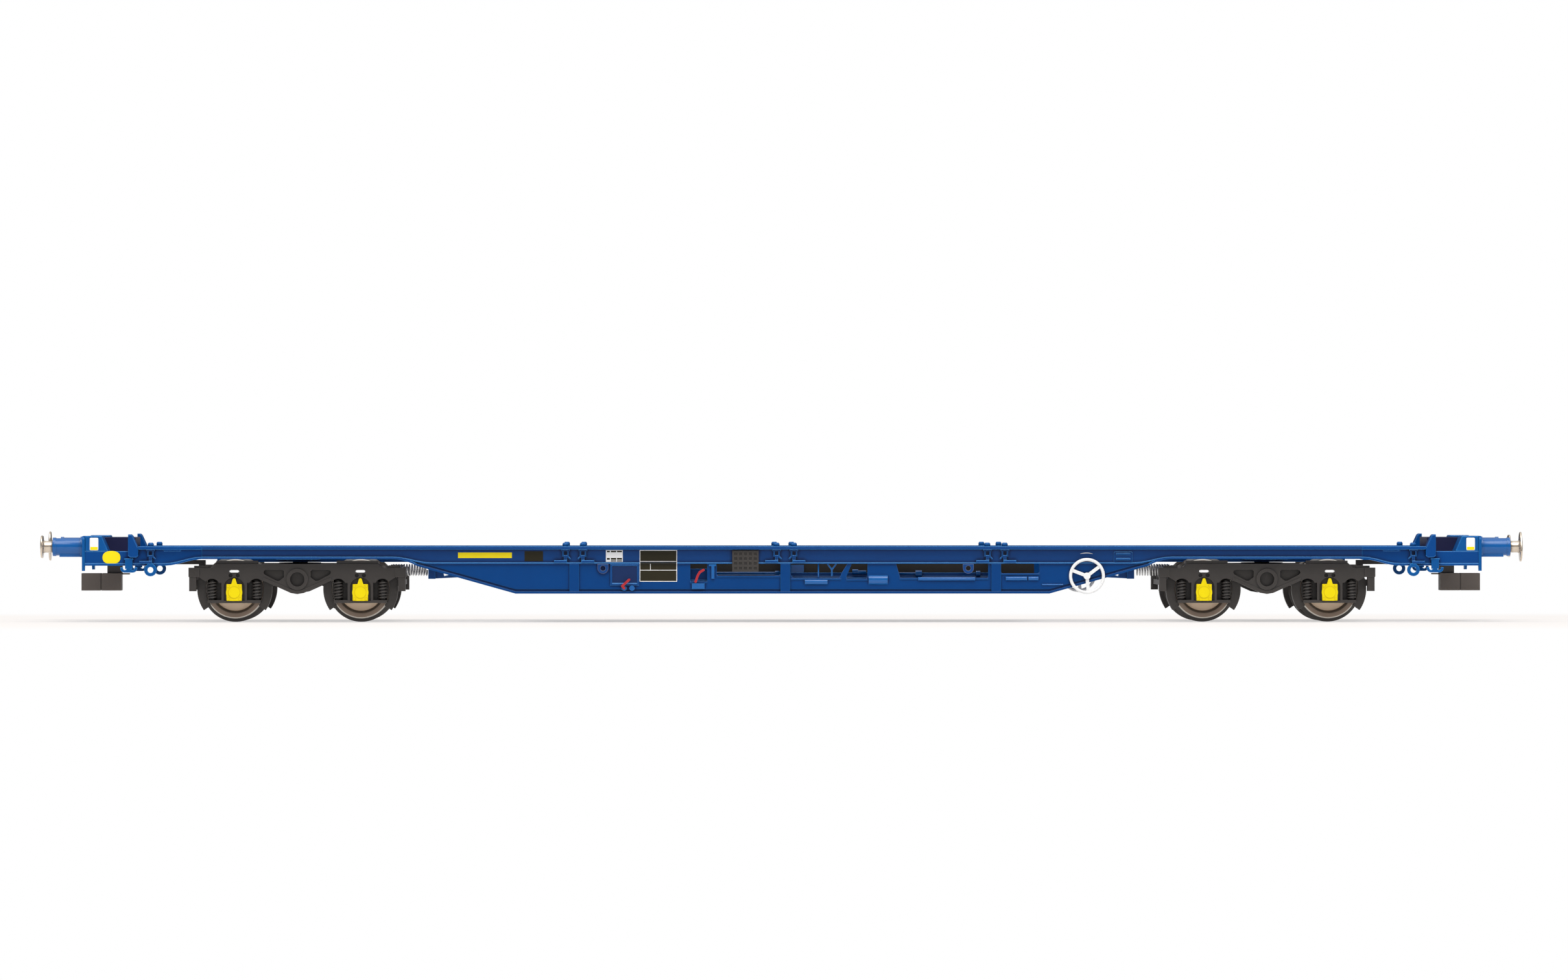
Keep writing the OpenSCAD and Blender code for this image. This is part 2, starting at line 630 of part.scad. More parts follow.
module brake_pipes() {
    color(blue) sides() {
        z = at_h(0.67);
        rod_x(u(-19), u(0.5), -gear_y, z, 0.3);
        rod_x(u(-1.4), u(-0.6), -gear_y, z, 0.5);
        for (x = [u(-18), u(-8), u(-1)]) block([x - 0.3, -gear_y, z - 0.15],
            [x + 0.3, -ballast_half, z + 0.15]);
        // the bracket beside the recess
        slab(low_out, low_out + 0.3) {
            rect(u(-13.5), at_h(0.5), u(-12.95), at_h(0.96));
            rect(u(-14), at_h(0.92), u(-12.6), at_h(0.98));
        }
        // the box under the recess
        slab(low_out, low_out + 0.4) rect(u(-17.2), at_h(0.16), u(-14.8), at_h(0.4) - 0.32);
    }
}

// Coil springs that centre the bogies, and the brackets that hold them
spring_z = axle_z + 3.5;
spring_r = 1.15;
post_x = axle_x + 5.55;                // face of the bogie's post, from the pivot
bracket_x = pivot_x - frame_half - 3.9;
module spring_brackets() {
    color(blue) ends() {
        slab(-0.8, 0.8) difference() {
            polygon([[bracket_x - 7, sill_bot], [bracket_x - 7, spring_z - 1.1],
                [bracket_x - 6, spring_z - 1.4],
                     [bracket_x, spring_z - 1.7], [bracket_x, spring_z + 0.9],
                         [bracket_x - 1.2, spring_z + 1.4],
                     [bracket_x - 1.2, sill_bot]]);
            polygon([[bracket_x - 4.2, spring_z - 0.85], [bracket_x - 2.85, spring_z - 0.5],
                [bracket_x - 3, spring_z - 1.15]]);
        }
        slab(-1.2, 1.2) rect(bracket_x - 1.35, spring_z - 1.7, bracket_x, spring_z + 0.2);
    }
}
module coil() {
    color(silver) rod_x(bracket_x + face_c, pivot_x - post_x - face_c, 0, spring_z, spring_r);
}
module spring_right() { coil(); }
module spring_left() { mirror([1, 0, 0]) coil(); }

// Bogies, drawn round the pivot with the outer end towards +X
apex_z = axle_z - 0.95;                // lowest point of the frame's belly
spring_off = 4.2;                      // bogie springs from the axle
seat_z = axle_z - 2.1;                 // spring seat on the axlebox wings
hang_z = axle_z + 1.2;                 // underside of the frame over the springs
wing_z = axle_z - 2.65;                // underside of the axlebox wings
wing_half = 5;
box_w = 2.4;                           // half width of the axlebox body
block_w = 2;                           // length of a frame's end block
block_z = axle_z + 2.25;               // where the end block narrows
arch_r = 1.5;                          // arch over a spring
boss_z = axle_z + 1.85;                // ring in the middle of a side frame
journal_in = 0.9;                      // depth of the journal's bore
pad_c = 0.33;                          // clearance of the pads under the girder
plate_t = 0.6;                         // plates behind the springs
belly_end = axle_x - wing_half - 0.55;
half_frame = [
    [0, apex_z], [1.2, apex_z + 0.2], [belly_end, hang_z + 0.4], [axle_x - wing_half, hang_z],
    [axle_x - box_w, hang_z], [axle_x - box_w, seat_z], [axle_x - wing_half, seat_z],
        [axle_x - wing_half, wing_z],
    [axle_x + wing_half, wing_z], [axle_x + wing_half, seat_z], [axle_x + box_w, seat_z],
    [axle_x + box_w, hang_z], [axle_x + wing_half, hang_z], [frame_half - block_w, block_z],
    [frame_half - block_w + 0.55, block_z], [frame_half - block_w + 0.55, axle_z - 0.4],
    [frame_half - 0.12, axle_z - 0.4], [frame_half - 0.12, block_z], [frame_half, block_z + 0.1],
    [frame_half, frame_top - 0.7], [frame_half - block_w, frame_top - 0.7], [axle_x + 4.5, frame_top - 0.8],
    [axle_x + 3.8, frame_top - 0.5], [axle_x + 3.4, frame_top], [0, frame_top]];
// The raised band along the frame's belly
belly_band = [[0, apex_z], [1.2, apex_z + 0.2], [belly_end, hang_z + 0.4], [belly_end, hang_z + 0.95],
              [1, apex_z + 0.8], [0, apex_z + 0.65]];
cover_seat = frame_out - 0.5;          // floor of the recess round an axlebox cover
module frame_cuts() {
    slab(frame_out - pocket_d, frame_out + 1) {
        ends() polygon([[2.8, frame_top - 1.05], [5.9, frame_top - 1.05], [6.3, frame_top - 1.25],
            [6.4, frame_top - 1.7],
                        [6.1, frame_top - 2.05], [3.9, frame_top - 3.2], [3.4, frame_top - 3.2],
                            [2.5, frame_top - 2.5],
                        [2.5, frame_top - 1.35]]);
        translate([0, boss_z]) circle(1.38);
    }
    for (s = [-1, 1]) translate([s * axle_x, 0, 0]) {
        slab(frame_out - pocket_d, frame_out + 1)
            round_rect(-0.94, frame_top - 1.65, 0.94, frame_top - 1.13, 0.24);
        slab(cover_seat, frame_out + 1) {
            translate([0, hang_z - 0.95]) circle(2);
            rect(-2, seat_z - 0.13, 2, hang_z - 0.95);
            for (i = [-1, 1]) translate([i * 0.68, frame_top - 2.15]) circle(0.4, $fn = 24);
        }
        slab(frame_in - 1, frame_out + 1) for (i = [-1, 1])
            translate([i * spring_off, hang_z - 0.7]) circle(arch_r);
        rod_y(0, axle_z, journal_r + run_c, frame_in - 1, frame_in + journal_in);
    }
}
// Pads under the girders, lumps over the ends, and the raised edges
module frame_bosses() {
    ends() {
        slab(frame_in, frame_out - 0.2) {
            rect(axle_x - 4.5, frame_top - 0.5, axle_x + 3.4, frame_top + bogie_gap - pad_c);
            rect(axle_x + 5, frame_top - 1.1, axle_x + 7.6, frame_top - 0.33);
        }
        slab(frame_out - 0.1, frame_out + 0.15) polygon(belly_band);
        slab(frame_out - 0.1, frame_out + 0.15)
            rect(frame_half - block_w, block_z + 0.1, frame_half, frame_top - 0.7);
    }
    slab(frame_out - 0.1, frame_out + 0.3) translate([0, boss_z]) circle(2);
}
// Plates that close the frame behind the springs, inside the brake shoes
module spring_plates() {
    slab(frame_in - plate_t, frame_in) for (s = [-1, 1]) translate([s * axle_x, 0]) intersection() {
        translate([0, axle_z]) circle(shoe_in - 0.15);
        ends() rect(box_w - 0.25, wing_z, shoe_in, hang_z + 1.2);
    }
}
module side_frame() {
    difference() {
        union() {
            slab(frame_in, frame_out) ends() polygon(half_frame);
            frame_bosses();
        }
        frame_cuts();
    }
    spring_plates();
}
module bogie_frames() { color(black) sides() side_frame(); }

beam_z = axle_z + 0.7;                 // brake beams
beam_h = 0.95;
beam_t = 1;
beam_off = flange_r + 1.35;            // from the axle
transom_half = 3;
// Scale of the brake gear between an axle and the transom, which has the room there
inner_k = (axle_x - transom_half - flange_r) / 2.65;
pad_bot = beam_z + beam_h + 1;
module bogie_transom() {
    color(black) difference() {
        union() {
            block([-transom_half, -frame_in, transom_bot], [transom_half, frame_in, frame_top - 0.85]);
            translate([0, 0, pad_bot]) cylinder(r = boss_r, h = boss_bot - face_c - pad_bot);
        }
        translate([0, 0, transom_bot - 1]) cylinder(r = pivot_r + run_c, h = 6);
    }
}
// Brake shoes: crescents beside the wheels, each pair on a beam across the bogie
shoe_in = tread_r - 0.1;
shoe_y = back_gap / 2 + wheel_w + 0.25;
module shoe(k) {
    intersection() {
        difference() {
            circle(flange_r + k * 0.8);
            circle(shoe_in);
        }
        polygon([[0, 0], [9, 3], [9, -6.2]]);
    }
    translate([flange_r + k * 0.65, beam_z + beam_h / 2 - axle_z]) circle(k * 0.65);
}
module bogie_brakes() {
    color(black) for (a = [-1, 1], s = [-1, 1]) let (k = a * s < 0 ? inner_k : 1)
        translate([a * axle_x, 0, 0]) {
        sides() slab(shoe_y, frame_in) translate([0, axle_z]) mirror([s < 0 ? 1 : 0, 0]) shoe(k);
        translate([s * (flange_r + k * 1.35), 0, 0])
            block([-k * beam_t / 2, -frame_in, beam_z], [k * beam_t / 2, frame_in, beam_z + beam_h]);
    }
}
// Axlebox covers: a square plate with a neck, four bolts and a round centre
cover_z = axle_z - 0.64;
cover_bot = seat_z - 0.13;
cover_half = 1.45;
module bogie_covers() {
    top = 2 * cover_z - cover_bot;
    color(yellow) sides() for (s = [-1, 1]) translate([s * axle_x, 0, 0]) {
        slab(cover_seat, frame_out + 0.2) {
            round_rect(-cover_half, cover_bot, cover_half, top, 0.15);
            translate([0, cover_z]) circle(cover_half + 0.09);
            polygon([[-0.58, top - 0.1], [0.58, top - 0.1], [0.3, top + 0.8], [-0.3, top + 0.8]]);
            translate([0, top + 0.8]) circle(0.3);
        }
        rod_y(0, cover_z, 1.05, frame_out + 0.2, frame_out + 0.32);
        for (i = [-1, 1], j = [-1, 1])
            rod_y(i * 1.13, cover_z + j * 1.25, 0.2, frame_out + 0.2, frame_out + 0.38);
    }
}
coils = 7;
coil_r = 0.9;
module bogie_spring() {
    h = hang_z + 0.5 - seat_z;
    wire = h / coils / 2;
    translate([0, 0, seat_z]) rotate_extrude() {
        square([coil_r - wire, h]);
        for (i = [0 : coils - 1]) translate([coil_r - wire, (i + 0.5) * h / coils]) circle(wire, $fn = 16);
    }
}
module bogie_springs() {
    color(black) sides() for (a = [-1, 1], s = [-1, 1])
        translate([a * axle_x + s * spring_off, -(frame_in + frame_out) / 2, 0]) bogie_spring();
}
// Coupling arm with its post, and the post that the centring spring hooks on
beam_mid = axle_x + beam_off;
arm_z = axle_z + 4.6;
arm_h = 0.8;
arm_half = 1.5;
pocket_top = axle_z + 2.9;
pocket_bot = axle_z - 0.4;
pocket_half = 2.2;
pocket_x1 = overhang + 0.95;           // from the pivot
pocket_x0 = pocket_x1 - 7.6;
seam_x = pocket_x1 - 3.75;
module bogie_arm() {
    color(black) {
        block([beam_mid - 1.5, -arm_half, beam_z + beam_h], [beam_mid - 0.3, arm_half, arm_z + 0.1]);
        block([beam_mid - 1.5, -arm_half, arm_z], [pocket_x0 + 2.7, arm_half, arm_z + arm_h]);
        block([pocket_x0 - 0.1, -arm_half, pocket_top], [pocket_x0 + 2.7, arm_half, arm_z + 0.1]);
        block([-beam_mid - 0.5, -0.8, beam_z + beam_h], [-post_x + 0.6, 0.8, beam_z + beam_h + 0.6]);
        block([-post_x, -0.8, beam_z + beam_h], [-post_x + 0.6, 0.8, spring_z + 0.9]);
    }
}
module bogie_pocket() {
    color(black) difference() {
        union() {
            block([pocket_x0, -pocket_half, pocket_bot], [seam_x - 0.1, pocket_half, pocket_top]);
            block([seam_x - 0.2, 0.15 - pocket_half, pocket_bot + 0.15],
                [seam_x + 0.2, pocket_half - 0.15, pocket_top - 0.15]);
            block([seam_x + 0.1, -pocket_half, pocket_bot], [pocket_x1, pocket_half, pocket_top]);
            block([pocket_x0 - 1.5, -1, pocket_top - 0.25], [pocket_x0 + 0.1, 1, pocket_top]);
        }
        block([pocket_x1 - 6, -1.6, pocket_bot + 0.8], [pocket_x1 + 1, 1.6, pocket_top - 0.7]);
    }
}
module at_right() { translate([pivot_x, 0, 0]) children(); }
module at_left() { mirror([1, 0, 0]) at_right() children(); }

// Wheelsets
module wheel() {
    bore = axle_r + seat_c;
    translate([0, -back_gap / 2, 0]) rotate([90, 0, 0]) rotate_extrude($fn = 96)
        polygon([[bore, 0], [flange_r - 0.35, 0], [flange_r, 0.3], [flange_r, 0.5], [tread_r + 0.1, 0.95],
                 [tread_r, wheel_w], [tread_r - 0.98, wheel_w], [tread_r - 1.1, wheel_w - 0.5],
                 [tread_r - 1.5, wheel_w - 1.1], [2.4, wheel_w - 0.8], [2, wheel_w], [bore, wheel_w]]);
}
module wheels() { color(bronze) sides() translate([0, 0, axle_z]) wheel(); }
shoulder = frame_in - 0.6;
module axle() {
    color(silver) translate([0, 0, axle_z]) rotate([90, 0, 0]) {
        cylinder(r = axle_r, h = 2 * shoulder, center = true);
        cylinder(r = journal_r, h = 2 * (frame_in + journal_in - face_c), center = true);
    }
}
set_x = [-pivot_x - axle_x, -pivot_x + axle_x, pivot_x - axle_x, pivot_x + axle_x];
module at_set(i) { translate([set_x[i - 1], 0, 0]) children(); }

girder_near();
girder_far();
belly_near();
belly_far();
girder_ends();
centre_sill();
cross_bearers();
bolsters();
pivot_screws();
headstocks();
corner_blocks();
end_boxes();
container_guides();
spigots();
spigot_brackets();
buffer_housings();
buffer_heads();
rope_hooks();
tie_rings();
lashing_eyes();
step_plates();
access_panels();
panel_valves();
release_levers();
mesh_clips();
handwheels();
brake_shaft();
brake_cylinders();
brake_pipes();
ballast_weight();
spring_brackets();
spring_left();
spring_right();
at_left() bogie_frames();  // bogie_left_frames
at_left() bogie_transom();  // bogie_left_transom
at_left() bogie_brakes();  // bogie_left_brakes
at_left() bogie_covers();  // bogie_left_covers
at_left() bogie_springs();  // bogie_left_springs
at_left() bogie_arm();  // bogie_left_arm
at_left() bogie_pocket();  // bogie_left_pocket
at_right() bogie_frames();  // bogie_right_frames
at_right() bogie_transom();  // bogie_right_transom
at_right() bogie_brakes();  // bogie_right_brakes
at_right() bogie_covers();  // bogie_right_covers
at_right() bogie_springs();  // bogie_right_springs
at_right() bogie_arm();  // bogie_right_arm
at_right() bogie_pocket();  // bogie_right_pocket
at_set(1) wheels();  // wheels_1
at_set(2) wheels();  // wheels_2
at_set(3) wheels();  // wheels_3
at_set(4) wheels();  // wheels_4
at_set(1) axle();  // axle_1
at_set(2) axle();  // axle_2
at_set(3) axle();  // axle_3
at_set(4) axle();  // axle_4
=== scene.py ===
import json
import math
import bpy
import numpy as np
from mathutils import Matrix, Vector


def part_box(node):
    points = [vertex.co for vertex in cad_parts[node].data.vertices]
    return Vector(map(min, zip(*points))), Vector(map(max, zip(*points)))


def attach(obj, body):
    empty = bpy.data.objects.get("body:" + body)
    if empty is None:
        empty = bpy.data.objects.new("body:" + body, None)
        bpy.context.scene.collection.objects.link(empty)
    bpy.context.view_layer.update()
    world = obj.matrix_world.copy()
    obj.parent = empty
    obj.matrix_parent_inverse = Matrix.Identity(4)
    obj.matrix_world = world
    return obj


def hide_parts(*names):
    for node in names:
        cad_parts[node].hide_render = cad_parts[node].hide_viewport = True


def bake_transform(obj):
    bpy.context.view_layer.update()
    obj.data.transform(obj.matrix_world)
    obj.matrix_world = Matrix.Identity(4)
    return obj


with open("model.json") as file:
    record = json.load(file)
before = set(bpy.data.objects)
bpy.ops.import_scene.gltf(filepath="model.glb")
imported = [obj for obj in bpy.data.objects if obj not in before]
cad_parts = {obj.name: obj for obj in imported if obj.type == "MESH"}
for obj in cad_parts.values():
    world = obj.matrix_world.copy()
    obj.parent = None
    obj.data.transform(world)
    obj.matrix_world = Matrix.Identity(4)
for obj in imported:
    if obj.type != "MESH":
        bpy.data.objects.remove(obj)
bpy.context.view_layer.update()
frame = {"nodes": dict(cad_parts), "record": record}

nodes = frame["nodes"]
mm = 0.001
print("frame loaded with", len(nodes), "nodes")

# camera: the photograph's side view, a long lens at the height of the picture's middle
photoView = {"place": (-0.025, -1.685, 0.0251), "aim": (0.0005, 0.0, 0.0251), "lens": 202.2, "sensor": 36.0}


def addCamera():
    data = bpy.data.cameras.new("photoCamera")
    data.lens = photoView["lens"]
    data.sensor_width = photoView["sensor"]
    data.sensor_fit = "HORIZONTAL"
    data.clip_start, data.clip_end = 0.01, 30.0
    camera = bpy.data.objects.new("photoCamera", data)
    place = Vector(photoView["place"])
    camera.location = place
    camera.rotation_euler = (Vector(photoView["aim"]) - place).to_track_quat("-Z", "Y").to_euler()
    bpy.context.scene.collection.objects.link(camera)
    bpy.context.scene.camera = camera


# node helpers: a Math node of two numbers or sockets, and one axis of a vector; each gives its output
def addMath(tree, operation, first, second=None, clamp=False):
    node = tree.nodes.new("ShaderNodeMath")
    node.operation = operation
    node.use_clamp = clamp
    for socket, value in zip(node.inputs, (first, second)):
        if isinstance(value, (int, float)):
            socket.default_value = value
        elif value is not None:
            tree.links.new(value, socket)
    return node.outputs[0]


def axisOf(tree, vector, axis):
    split = tree.nodes.new("ShaderNodeSeparateXYZ")
    tree.links.new(vector, split.inputs[0])
    return split.outputs[axis]


# light: an even white surround, a soft box overhead and a weaker one in front;
# reflections see a surround that is dim at eye level and white overhead
studio = {
    "surround": 0.50, "reflectLow": 0.06, "reflectHigh": 1.0, "reflectFrom": 0.25, "reflectTo": 0.8,
    "lamps": [  # name, place, aim, width, height, watts
        ("overheadBox", (-0.05, -0.25, 0.75), (0.0, 0.0, 0.01), 1.1, 0.4, 4.6),
        ("frontBox", (0.15, -0.80, 0.95), (0.0, 0.0, 0.01), 0.9, 0.4, 3.9),
    ],
}


def addLight():
    for name, place, aim, width, height, watts in studio["lamps"]:
        lamp = bpy.data.lights.new(name, "AREA")
        lamp.shape = "RECTANGLE"
        lamp.size, lamp.size_y, lamp.energy = width, height, watts
        box = bpy.data.objects.new(name, lamp)
        box.location = place
        box.rotation_euler = (Vector(aim) - Vector(place)).to_track_quat("-Z", "Y").to_euler()
        bpy.context.scene.collection.objects.link(box)
    world = bpy.data.worlds.new("studioSurround")
    bpy.context.scene.world = world
    world.use_nodes = True
    tree = world.node_tree
    tree.nodes.clear()
    seen = tree.nodes.new("ShaderNodeLightPath")
    coords = tree.nodes.new("ShaderNodeTexCoord")
    reflected = tree.nodes.new("ShaderNodeMapRange")
    for label, key in (("From Min", "reflectFrom"), ("From Max", "reflectTo"),
                       ("To Min", "reflectLow"), ("To Max", "reflectHigh")):
        reflected.inputs[label].default_value = studio[key]
    inGloss = tree.nodes.new("ShaderNodeMix")
    inGloss.inputs[2].default_value = studio["surround"]
    shown = addMath(tree, "MAXIMUM", seen.outputs["Is Camera Ray"], seen.outputs["Is Transmission Ray"])
    strength = tree.nodes.new("ShaderNodeMix")  # plain white where the surround itself is seen
    strength.inputs[3].default_value = 1.0
    sky = tree.nodes.new("ShaderNodeBackground")
    sky.inputs["Color"].default_value = (1, 1, 1, 1)
    out = tree.nodes.new("ShaderNodeOutputWorld")
    link = tree.links.new
    link(axisOf(tree, coords.outputs["Generated"], "Z"), reflected.inputs["Value"])
    link(seen.outputs["Is Glossy Ray"], inGloss.inputs[0])
    link(reflected.outputs["Result"], inGloss.inputs[3])
    link(shown, strength.inputs[0])
    link(inGloss.outputs[0], strength.inputs[2])
    link(strength.outputs[0], sky.inputs["Strength"])
    link(sky.outputs[0], out.inputs[0])
    bpy.context.scene.view_settings.view_transform = "Standard"


addCamera()
addLight()
print("camera and studio light placed")


# shared effects, each a node group that gives masks, values or colours
edgeReach = 0.12  # usual width in mm of an edge's wear and painted highlight
grainDepth = 0.03 * mm  # height of the moulding grain at full strength
dustColour = (0.62, 0.60, 0.56)
dustFrom = 0.3  # upward lean of a face from which dust settles
cavityShadeRange = (0.95, 0.35)  # openness of a corner, from no painted shade to full painted shade


def newGroup(name, inputs, outputs):
    group = bpy.data.node_groups.new(name, "ShaderNodeTree")
    for label, kind, value in inputs:
        socket = group.interface.new_socket(label, in_out="INPUT", socket_type=kind)
        socket.default_value = value
    for label, kind in outputs:
        group.interface.new_socket(label, in_out="OUTPUT", socket_type=kind)
    return group, group.nodes.new("NodeGroupInput"), group.nodes.new("NodeGroupOutput")


def makeGrainGroup():
    # fine moulding grain: two noises of Object coordinates, one fine, one broad
    group, given, made = newGroup(
        "mouldGrain",
        [("Fine Scale", "NodeSocketFloat", 9000.0), ("Broad Scale", "NodeSocketFloat", 160.0)],
        [("Fine", "NodeSocketFloat"), ("Broad", "NodeSocketFloat")],
    )
    coords = group.nodes.new("ShaderNodeTexCoord")
    for scale, label, detail in (("Fine Scale", "Fine", 2.0), ("Broad Scale", "Broad", 4.0)):
        noise = group.nodes.new("ShaderNodeTexNoise")
        noise.inputs["Detail"].default_value = detail
        group.links.new(coords.outputs["Object"], noise.inputs["Vector"])
        group.links.new(given.outputs[scale], noise.inputs["Scale"])
        group.links.new(noise.outputs["Fac"], made.inputs[label])
    return group


def makeEdgeGroup():
    # Mask output: how far the rounded normal leans from the true one, placing edge wear and painted edge highlights;
    # Crest output: how far it leans upwards, placing painted highlights on upper edges
    group, given, made = newGroup(
        "paintEdge",
        [("Radius", "NodeSocketFloat", edgeReach * mm), ("Strength", "NodeSocketFloat", 3.0),
         ("Break", "NodeSocketFloat", 0.5), ("Crest Gain", "NodeSocketFloat", 3.4)],
        [("Mask", "NodeSocketFloat"), ("Crest", "NodeSocketFloat")],
    )
    bevel = group.nodes.new("ShaderNodeBevel")
    bevel.samples = 4
    geometry = group.nodes.new("ShaderNodeNewGeometry")
    dot = group.nodes.new("ShaderNodeVectorMath")
    dot.operation = "DOT_PRODUCT"
    link = group.links.new
    link(given.outputs["Radius"], bevel.inputs["Radius"])
    link(bevel.outputs["Normal"], dot.inputs[0])
    link(geometry.outputs["Normal"], dot.inputs[1])
    lean = addMath(group, "SUBTRACT", 1.0, dot.outputs["Value"])
    gain = addMath(group, "MULTIPLY", lean, given.outputs["Strength"], clamp=True)
    link(addMath(group, "MULTIPLY", gain, given.outputs["Break"], clamp=True), made.inputs["Mask"])
    rise = addMath(group, "SUBTRACT", axisOf(group, bevel.outputs["Normal"], "Z"),
                   axisOf(group, geometry.outputs["Normal"], "Z"))
    link(addMath(group, "MULTIPLY", rise, given.outputs["Crest Gain"], clamp=True), made.inputs["Crest"])
    return group


def makeDustGroup():
    # dust mask: faces that look up, broken by a cloudy noise
    group, given, made = newGroup(
        "settledDust",
        [("Amount", "NodeSocketFloat", 0.2), ("Scale", "NodeSocketFloat", 400.0)],
        [("Mask", "NodeSocketFloat")],
    )
    geometry = group.nodes.new("ShaderNodeNewGeometry")
    up = group.nodes.new("ShaderNodeMapRange")
    up.inputs["From Min"].default_value = dustFrom
    coords = group.nodes.new("ShaderNodeTexCoord")
    noise = group.nodes.new("ShaderNodeTexNoise")
    noise.inputs["Detail"].default_value = 5.0
    link = group.links.new
    link(axisOf(group, geometry.outputs["Normal"], "Z"), up.inputs["Value"])
    link(coords.outputs["Object"], noise.inputs["Vector"])
    link(given.outputs["Scale"], noise.inputs["Scale"])
    both = addMath(group, "MULTIPLY", up.outputs["Result"], noise.outputs["Fac"])
    link(addMath(group, "MULTIPLY", both, given.outputs["Amount"], clamp=True), made.inputs["Mask"])
    return group


def makeCavityGroup():
    # cavity mask: how much of the near surroundings a corner or hollow hides, used to paint shade into corners and
    # grooves
    group, given, made = newGroup(
        "grooveWash",
        [("Reach", "NodeSocketFloat", 0.0007), ("Strength", "NodeSocketFloat", 1.0)],
        [("Mask", "NodeSocketFloat")],
    )
    hidden = group.nodes.new("ShaderNodeAmbientOcclusion")
    hidden.samples = 6
    shut = group.nodes.new("ShaderNodeMapRange")
    shut.inputs["From Min"].default_value, shut.inputs["From Max"].default_value = cavityShadeRange
    link = group.links.new
    link(given.outputs["Reach"], hidden.inputs["Distance"])
    link(hidden.outputs["AO"], shut.inputs["Value"])
    some = addMath(group, "MULTIPLY", shut.outputs["Result"], given.outputs["Strength"], clamp=True)
    link(some, made.inputs["Mask"])
    return group


# rings of a wheel's face from the axle out: radius in mm, colour; the dark recess, tread and flange rings are painted
# shade, the bright edge a painted highlight
wheelRings = [
    (0.0, (0.50, 0.38, 0.28)), (2.3, (0.94, 0.72, 0.51)), (4.1, (1.0, 0.77, 0.55)),  # hub and disc
    (4.25, (0.030, 0.024, 0.019)), (4.55, (0.034, 0.027, 0.021)),                     # recess, dark as painted shade
    (4.72, (0.27, 0.195, 0.145)), (5.38, (0.37, 0.265, 0.195)),                       # rim
    (5.44, (1.0, 0.95, 0.87)), (5.58, (0.95, 0.88, 0.78)),                            # bright edge, a painted highlight
    (5.66, (0.024, 0.020, 0.016)), (5.85, (0.034, 0.027, 0.022)),                     # tread, dark as painted shade
    (6.0, (0.045, 0.034, 0.026)), (6.3, (0.030, 0.023, 0.018)),                       # flange, dark as painted shade
]


def makeRingGroup():
    # colour by distance from the wheel's middle in Object coordinates
    group, given, made = newGroup(
        "wheelRings",
        [("Middle", "NodeSocketVector", (0, 0, 0))],
        [("Color", "NodeSocketColor")],
    )
    coords = group.nodes.new("ShaderNodeTexCoord")
    apart = group.nodes.new("ShaderNodeVectorMath")
    apart.operation = "SUBTRACT"
    flat = group.nodes.new("ShaderNodeVectorMath")
    flat.operation = "MULTIPLY"
    flat.inputs[1].default_value = (1, 0, 1)
    far = group.nodes.new("ShaderNodeVectorMath")
    far.operation = "LENGTH"
    outer = wheelRings[-1][0]
    ramp = group.nodes.new("ShaderNodeValToRGB")
    stops = ramp.color_ramp.elements
    while len(stops) < len(wheelRings):
        stops.new(0.5)
    for stop, (radius, colour) in zip(stops, wheelRings):  # all places first, because stops keep themselves in order
        stop.position = radius / outer
    for stop, (radius, colour) in zip(stops, wheelRings):
        stop.color = (*colour, 1)
    link = group.links.new
    link(coords.outputs["Object"], apart.inputs[0])
    link(given.outputs["Middle"], apart.inputs[1])
    link(apart.outputs[0], flat.inputs[0])
    link(flat.outputs[0], far.inputs[0])
    link(addMath(group, "DIVIDE", far.outputs["Value"], outer * mm), ramp.inputs[0])
    link(ramp.outputs[0], made.inputs["Color"])
    return group


mouldGrain, paintEdge, settledDust = makeGrainGroup(), makeEdgeGroup(), makeDustGroup()
grooveWash, ringColours = makeCavityGroup(), makeRingGroup()


def placeGroup(tree, group, **values):
    node = tree.nodes.new("ShaderNodeGroup")
    node.node_tree = group
    for label, value in values.items():
        node.inputs[label.replace("_", " ")].default_value = value
    return node


def mixColour(tree, mask, first, second, blend="MIX"):
    node = tree.nodes.new("ShaderNodeMix")
    node.data_type = "RGBA"
    node.blend_type = blend
    for socket, value in ((node.inputs[6], first), (node.inputs[7], second)):
        if isinstance(value, tuple):
            socket.default_value = (*value, 1.0)
        else:
            tree.links.new(value, socket)
    if isinstance(mask, float):
        node.inputs[0].default_value = mask
    else:
        tree.links.new(mask, node.inputs[0])
    return node.outputs[2]
